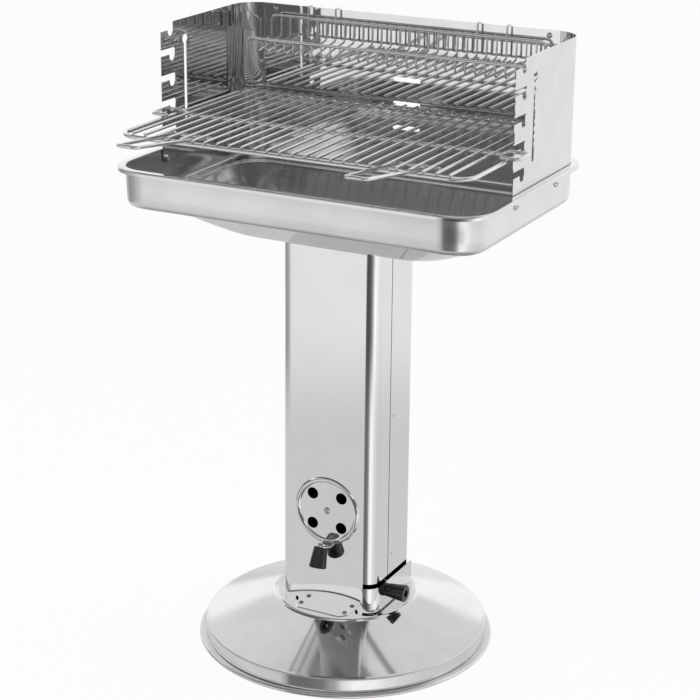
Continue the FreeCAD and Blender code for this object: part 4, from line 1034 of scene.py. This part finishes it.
def makeFloor(s):
    bm, half = bmesh.new(), s["floorHalf"]
    bm.faces.new([bm.verts.new((x, y, -s["floorDrop"])) for x, y in rectangle(-half, half, -half, half)])
    floor = addObject("floor", toMesh("floor", bm))
    material, tree = emptyMaterial("paleFloor")
    matt = node(tree, "BsdfDiffuse", {"Color": fromHex(s["floorColour"])})
    node(tree, "OutputMaterial", {}, {"Surface": whiteToCamera(tree, matt[0], "Emission", s["floorGlow"])})
    floor.data.materials.append(material)
    floor.visible_glossy = False    # the bright metal shows the studio's surroundings instead


def fillRamp(ramp, stops):
    # brightness by stops along the ramp
    ramp.interpolation = "EASE"
    for i, (spot, level) in enumerate(stops):
        stop = ramp.elements[i] if i < 2 else ramp.elements.new(spot)
        stop.position = spot
        stop.color = (level, level, level, 1)


def makeSurroundings(s):
    # pale walls with a dark opening in front, and a ceiling that is dark towards the front and pale behind
    world = bpy.data.worlds.new("studio")
    bpy.context.scene.world = world
    world.use_nodes = True
    tree = world.node_tree
    tree.nodes.clear()
    parts = node(tree, "SeparateXYZ", {}, {"Vector": node(tree, "TexCoord")["Generated"]})
    ahead = node(tree, "Math", {1: -1.0}, {0: parts[1]}, {"operation": "MULTIPLY"})
    turn = node(tree, "Math", {}, {0: parts[0], 1: ahead[0]}, {"operation": "ARCTAN2"})
    share = node(tree, "MapRange", {"From Min": -pi, "From Max": pi}, {"Value": turn[0]})
    change = {}
    for name, (axis, *ends) in s["changes"].items():
        change[name] = node(tree, "MapRange", dict(zip(rangeEnds, ends)), {"Value": parts[axis]},
                            {"interpolation_type": "SMOOTHSTEP"})[0]
    fields = [(share[0], [(angle / 360 + 0.5, level) for angle, level in stops]) for stops in s["walls"]]
    bands = []
    for source, stops in fields + [(parts[2], stops) for stops in s["ceilings"]]:
        bands.append(node(tree, "ValToRGB", {}, {0: source})[0])
        fillRamp(bands[-1].node.color_ramp, stops)
    low, middle, high, front, behind = bands

    def laidOver(under, layers):
        # each change lays its own layer over what is under it
        for name, over in layers:
            under = node(tree, "Mix", {}, {0: change[name], 6: under, 7: over}, {"data_type": "RGBA"})[2]
        return under

    walls = laidOver(low, (("bowlLevel", middle), ("eyeLevel", high)))
    washed = node(tree, "VectorMath", {}, {0: walls, "Scale": change["wallLight"]}, {"operation": "SCALE"})
    ceiling = laidOver(front, [("rear", behind)])
    room = laidOver(washed[0], (("overhead", ceiling), ("below", change["ownShade"])))
    lit = node(tree, "Background", {"Strength": 1.0}, {"Color": room})
    node(tree, "OutputWorld", {}, {"Surface": whiteToCamera(tree, lit[0], "Background", 1.0)})


def makeLamp(s):
    data = bpy.data.lights.new("softLamp", "AREA")
    data.shape, data.size, data.energy = "SQUARE", s["lampSize"], s["lampPower"]
    lamp = addObject("softLamp", data)
    lamp.location = s["lampPlace"]
    lamp.rotation_euler = (Vector(s["lampAim"]) - lamp.location).to_track_quat("-Z", "Y").to_euler()
    lamp.visible_glossy = False     # it lights the floor, and the metal shows the walls and ceiling


makeFloor(studio)
makeSurroundings(studio)
makeLamp(studio)
print("studio made")
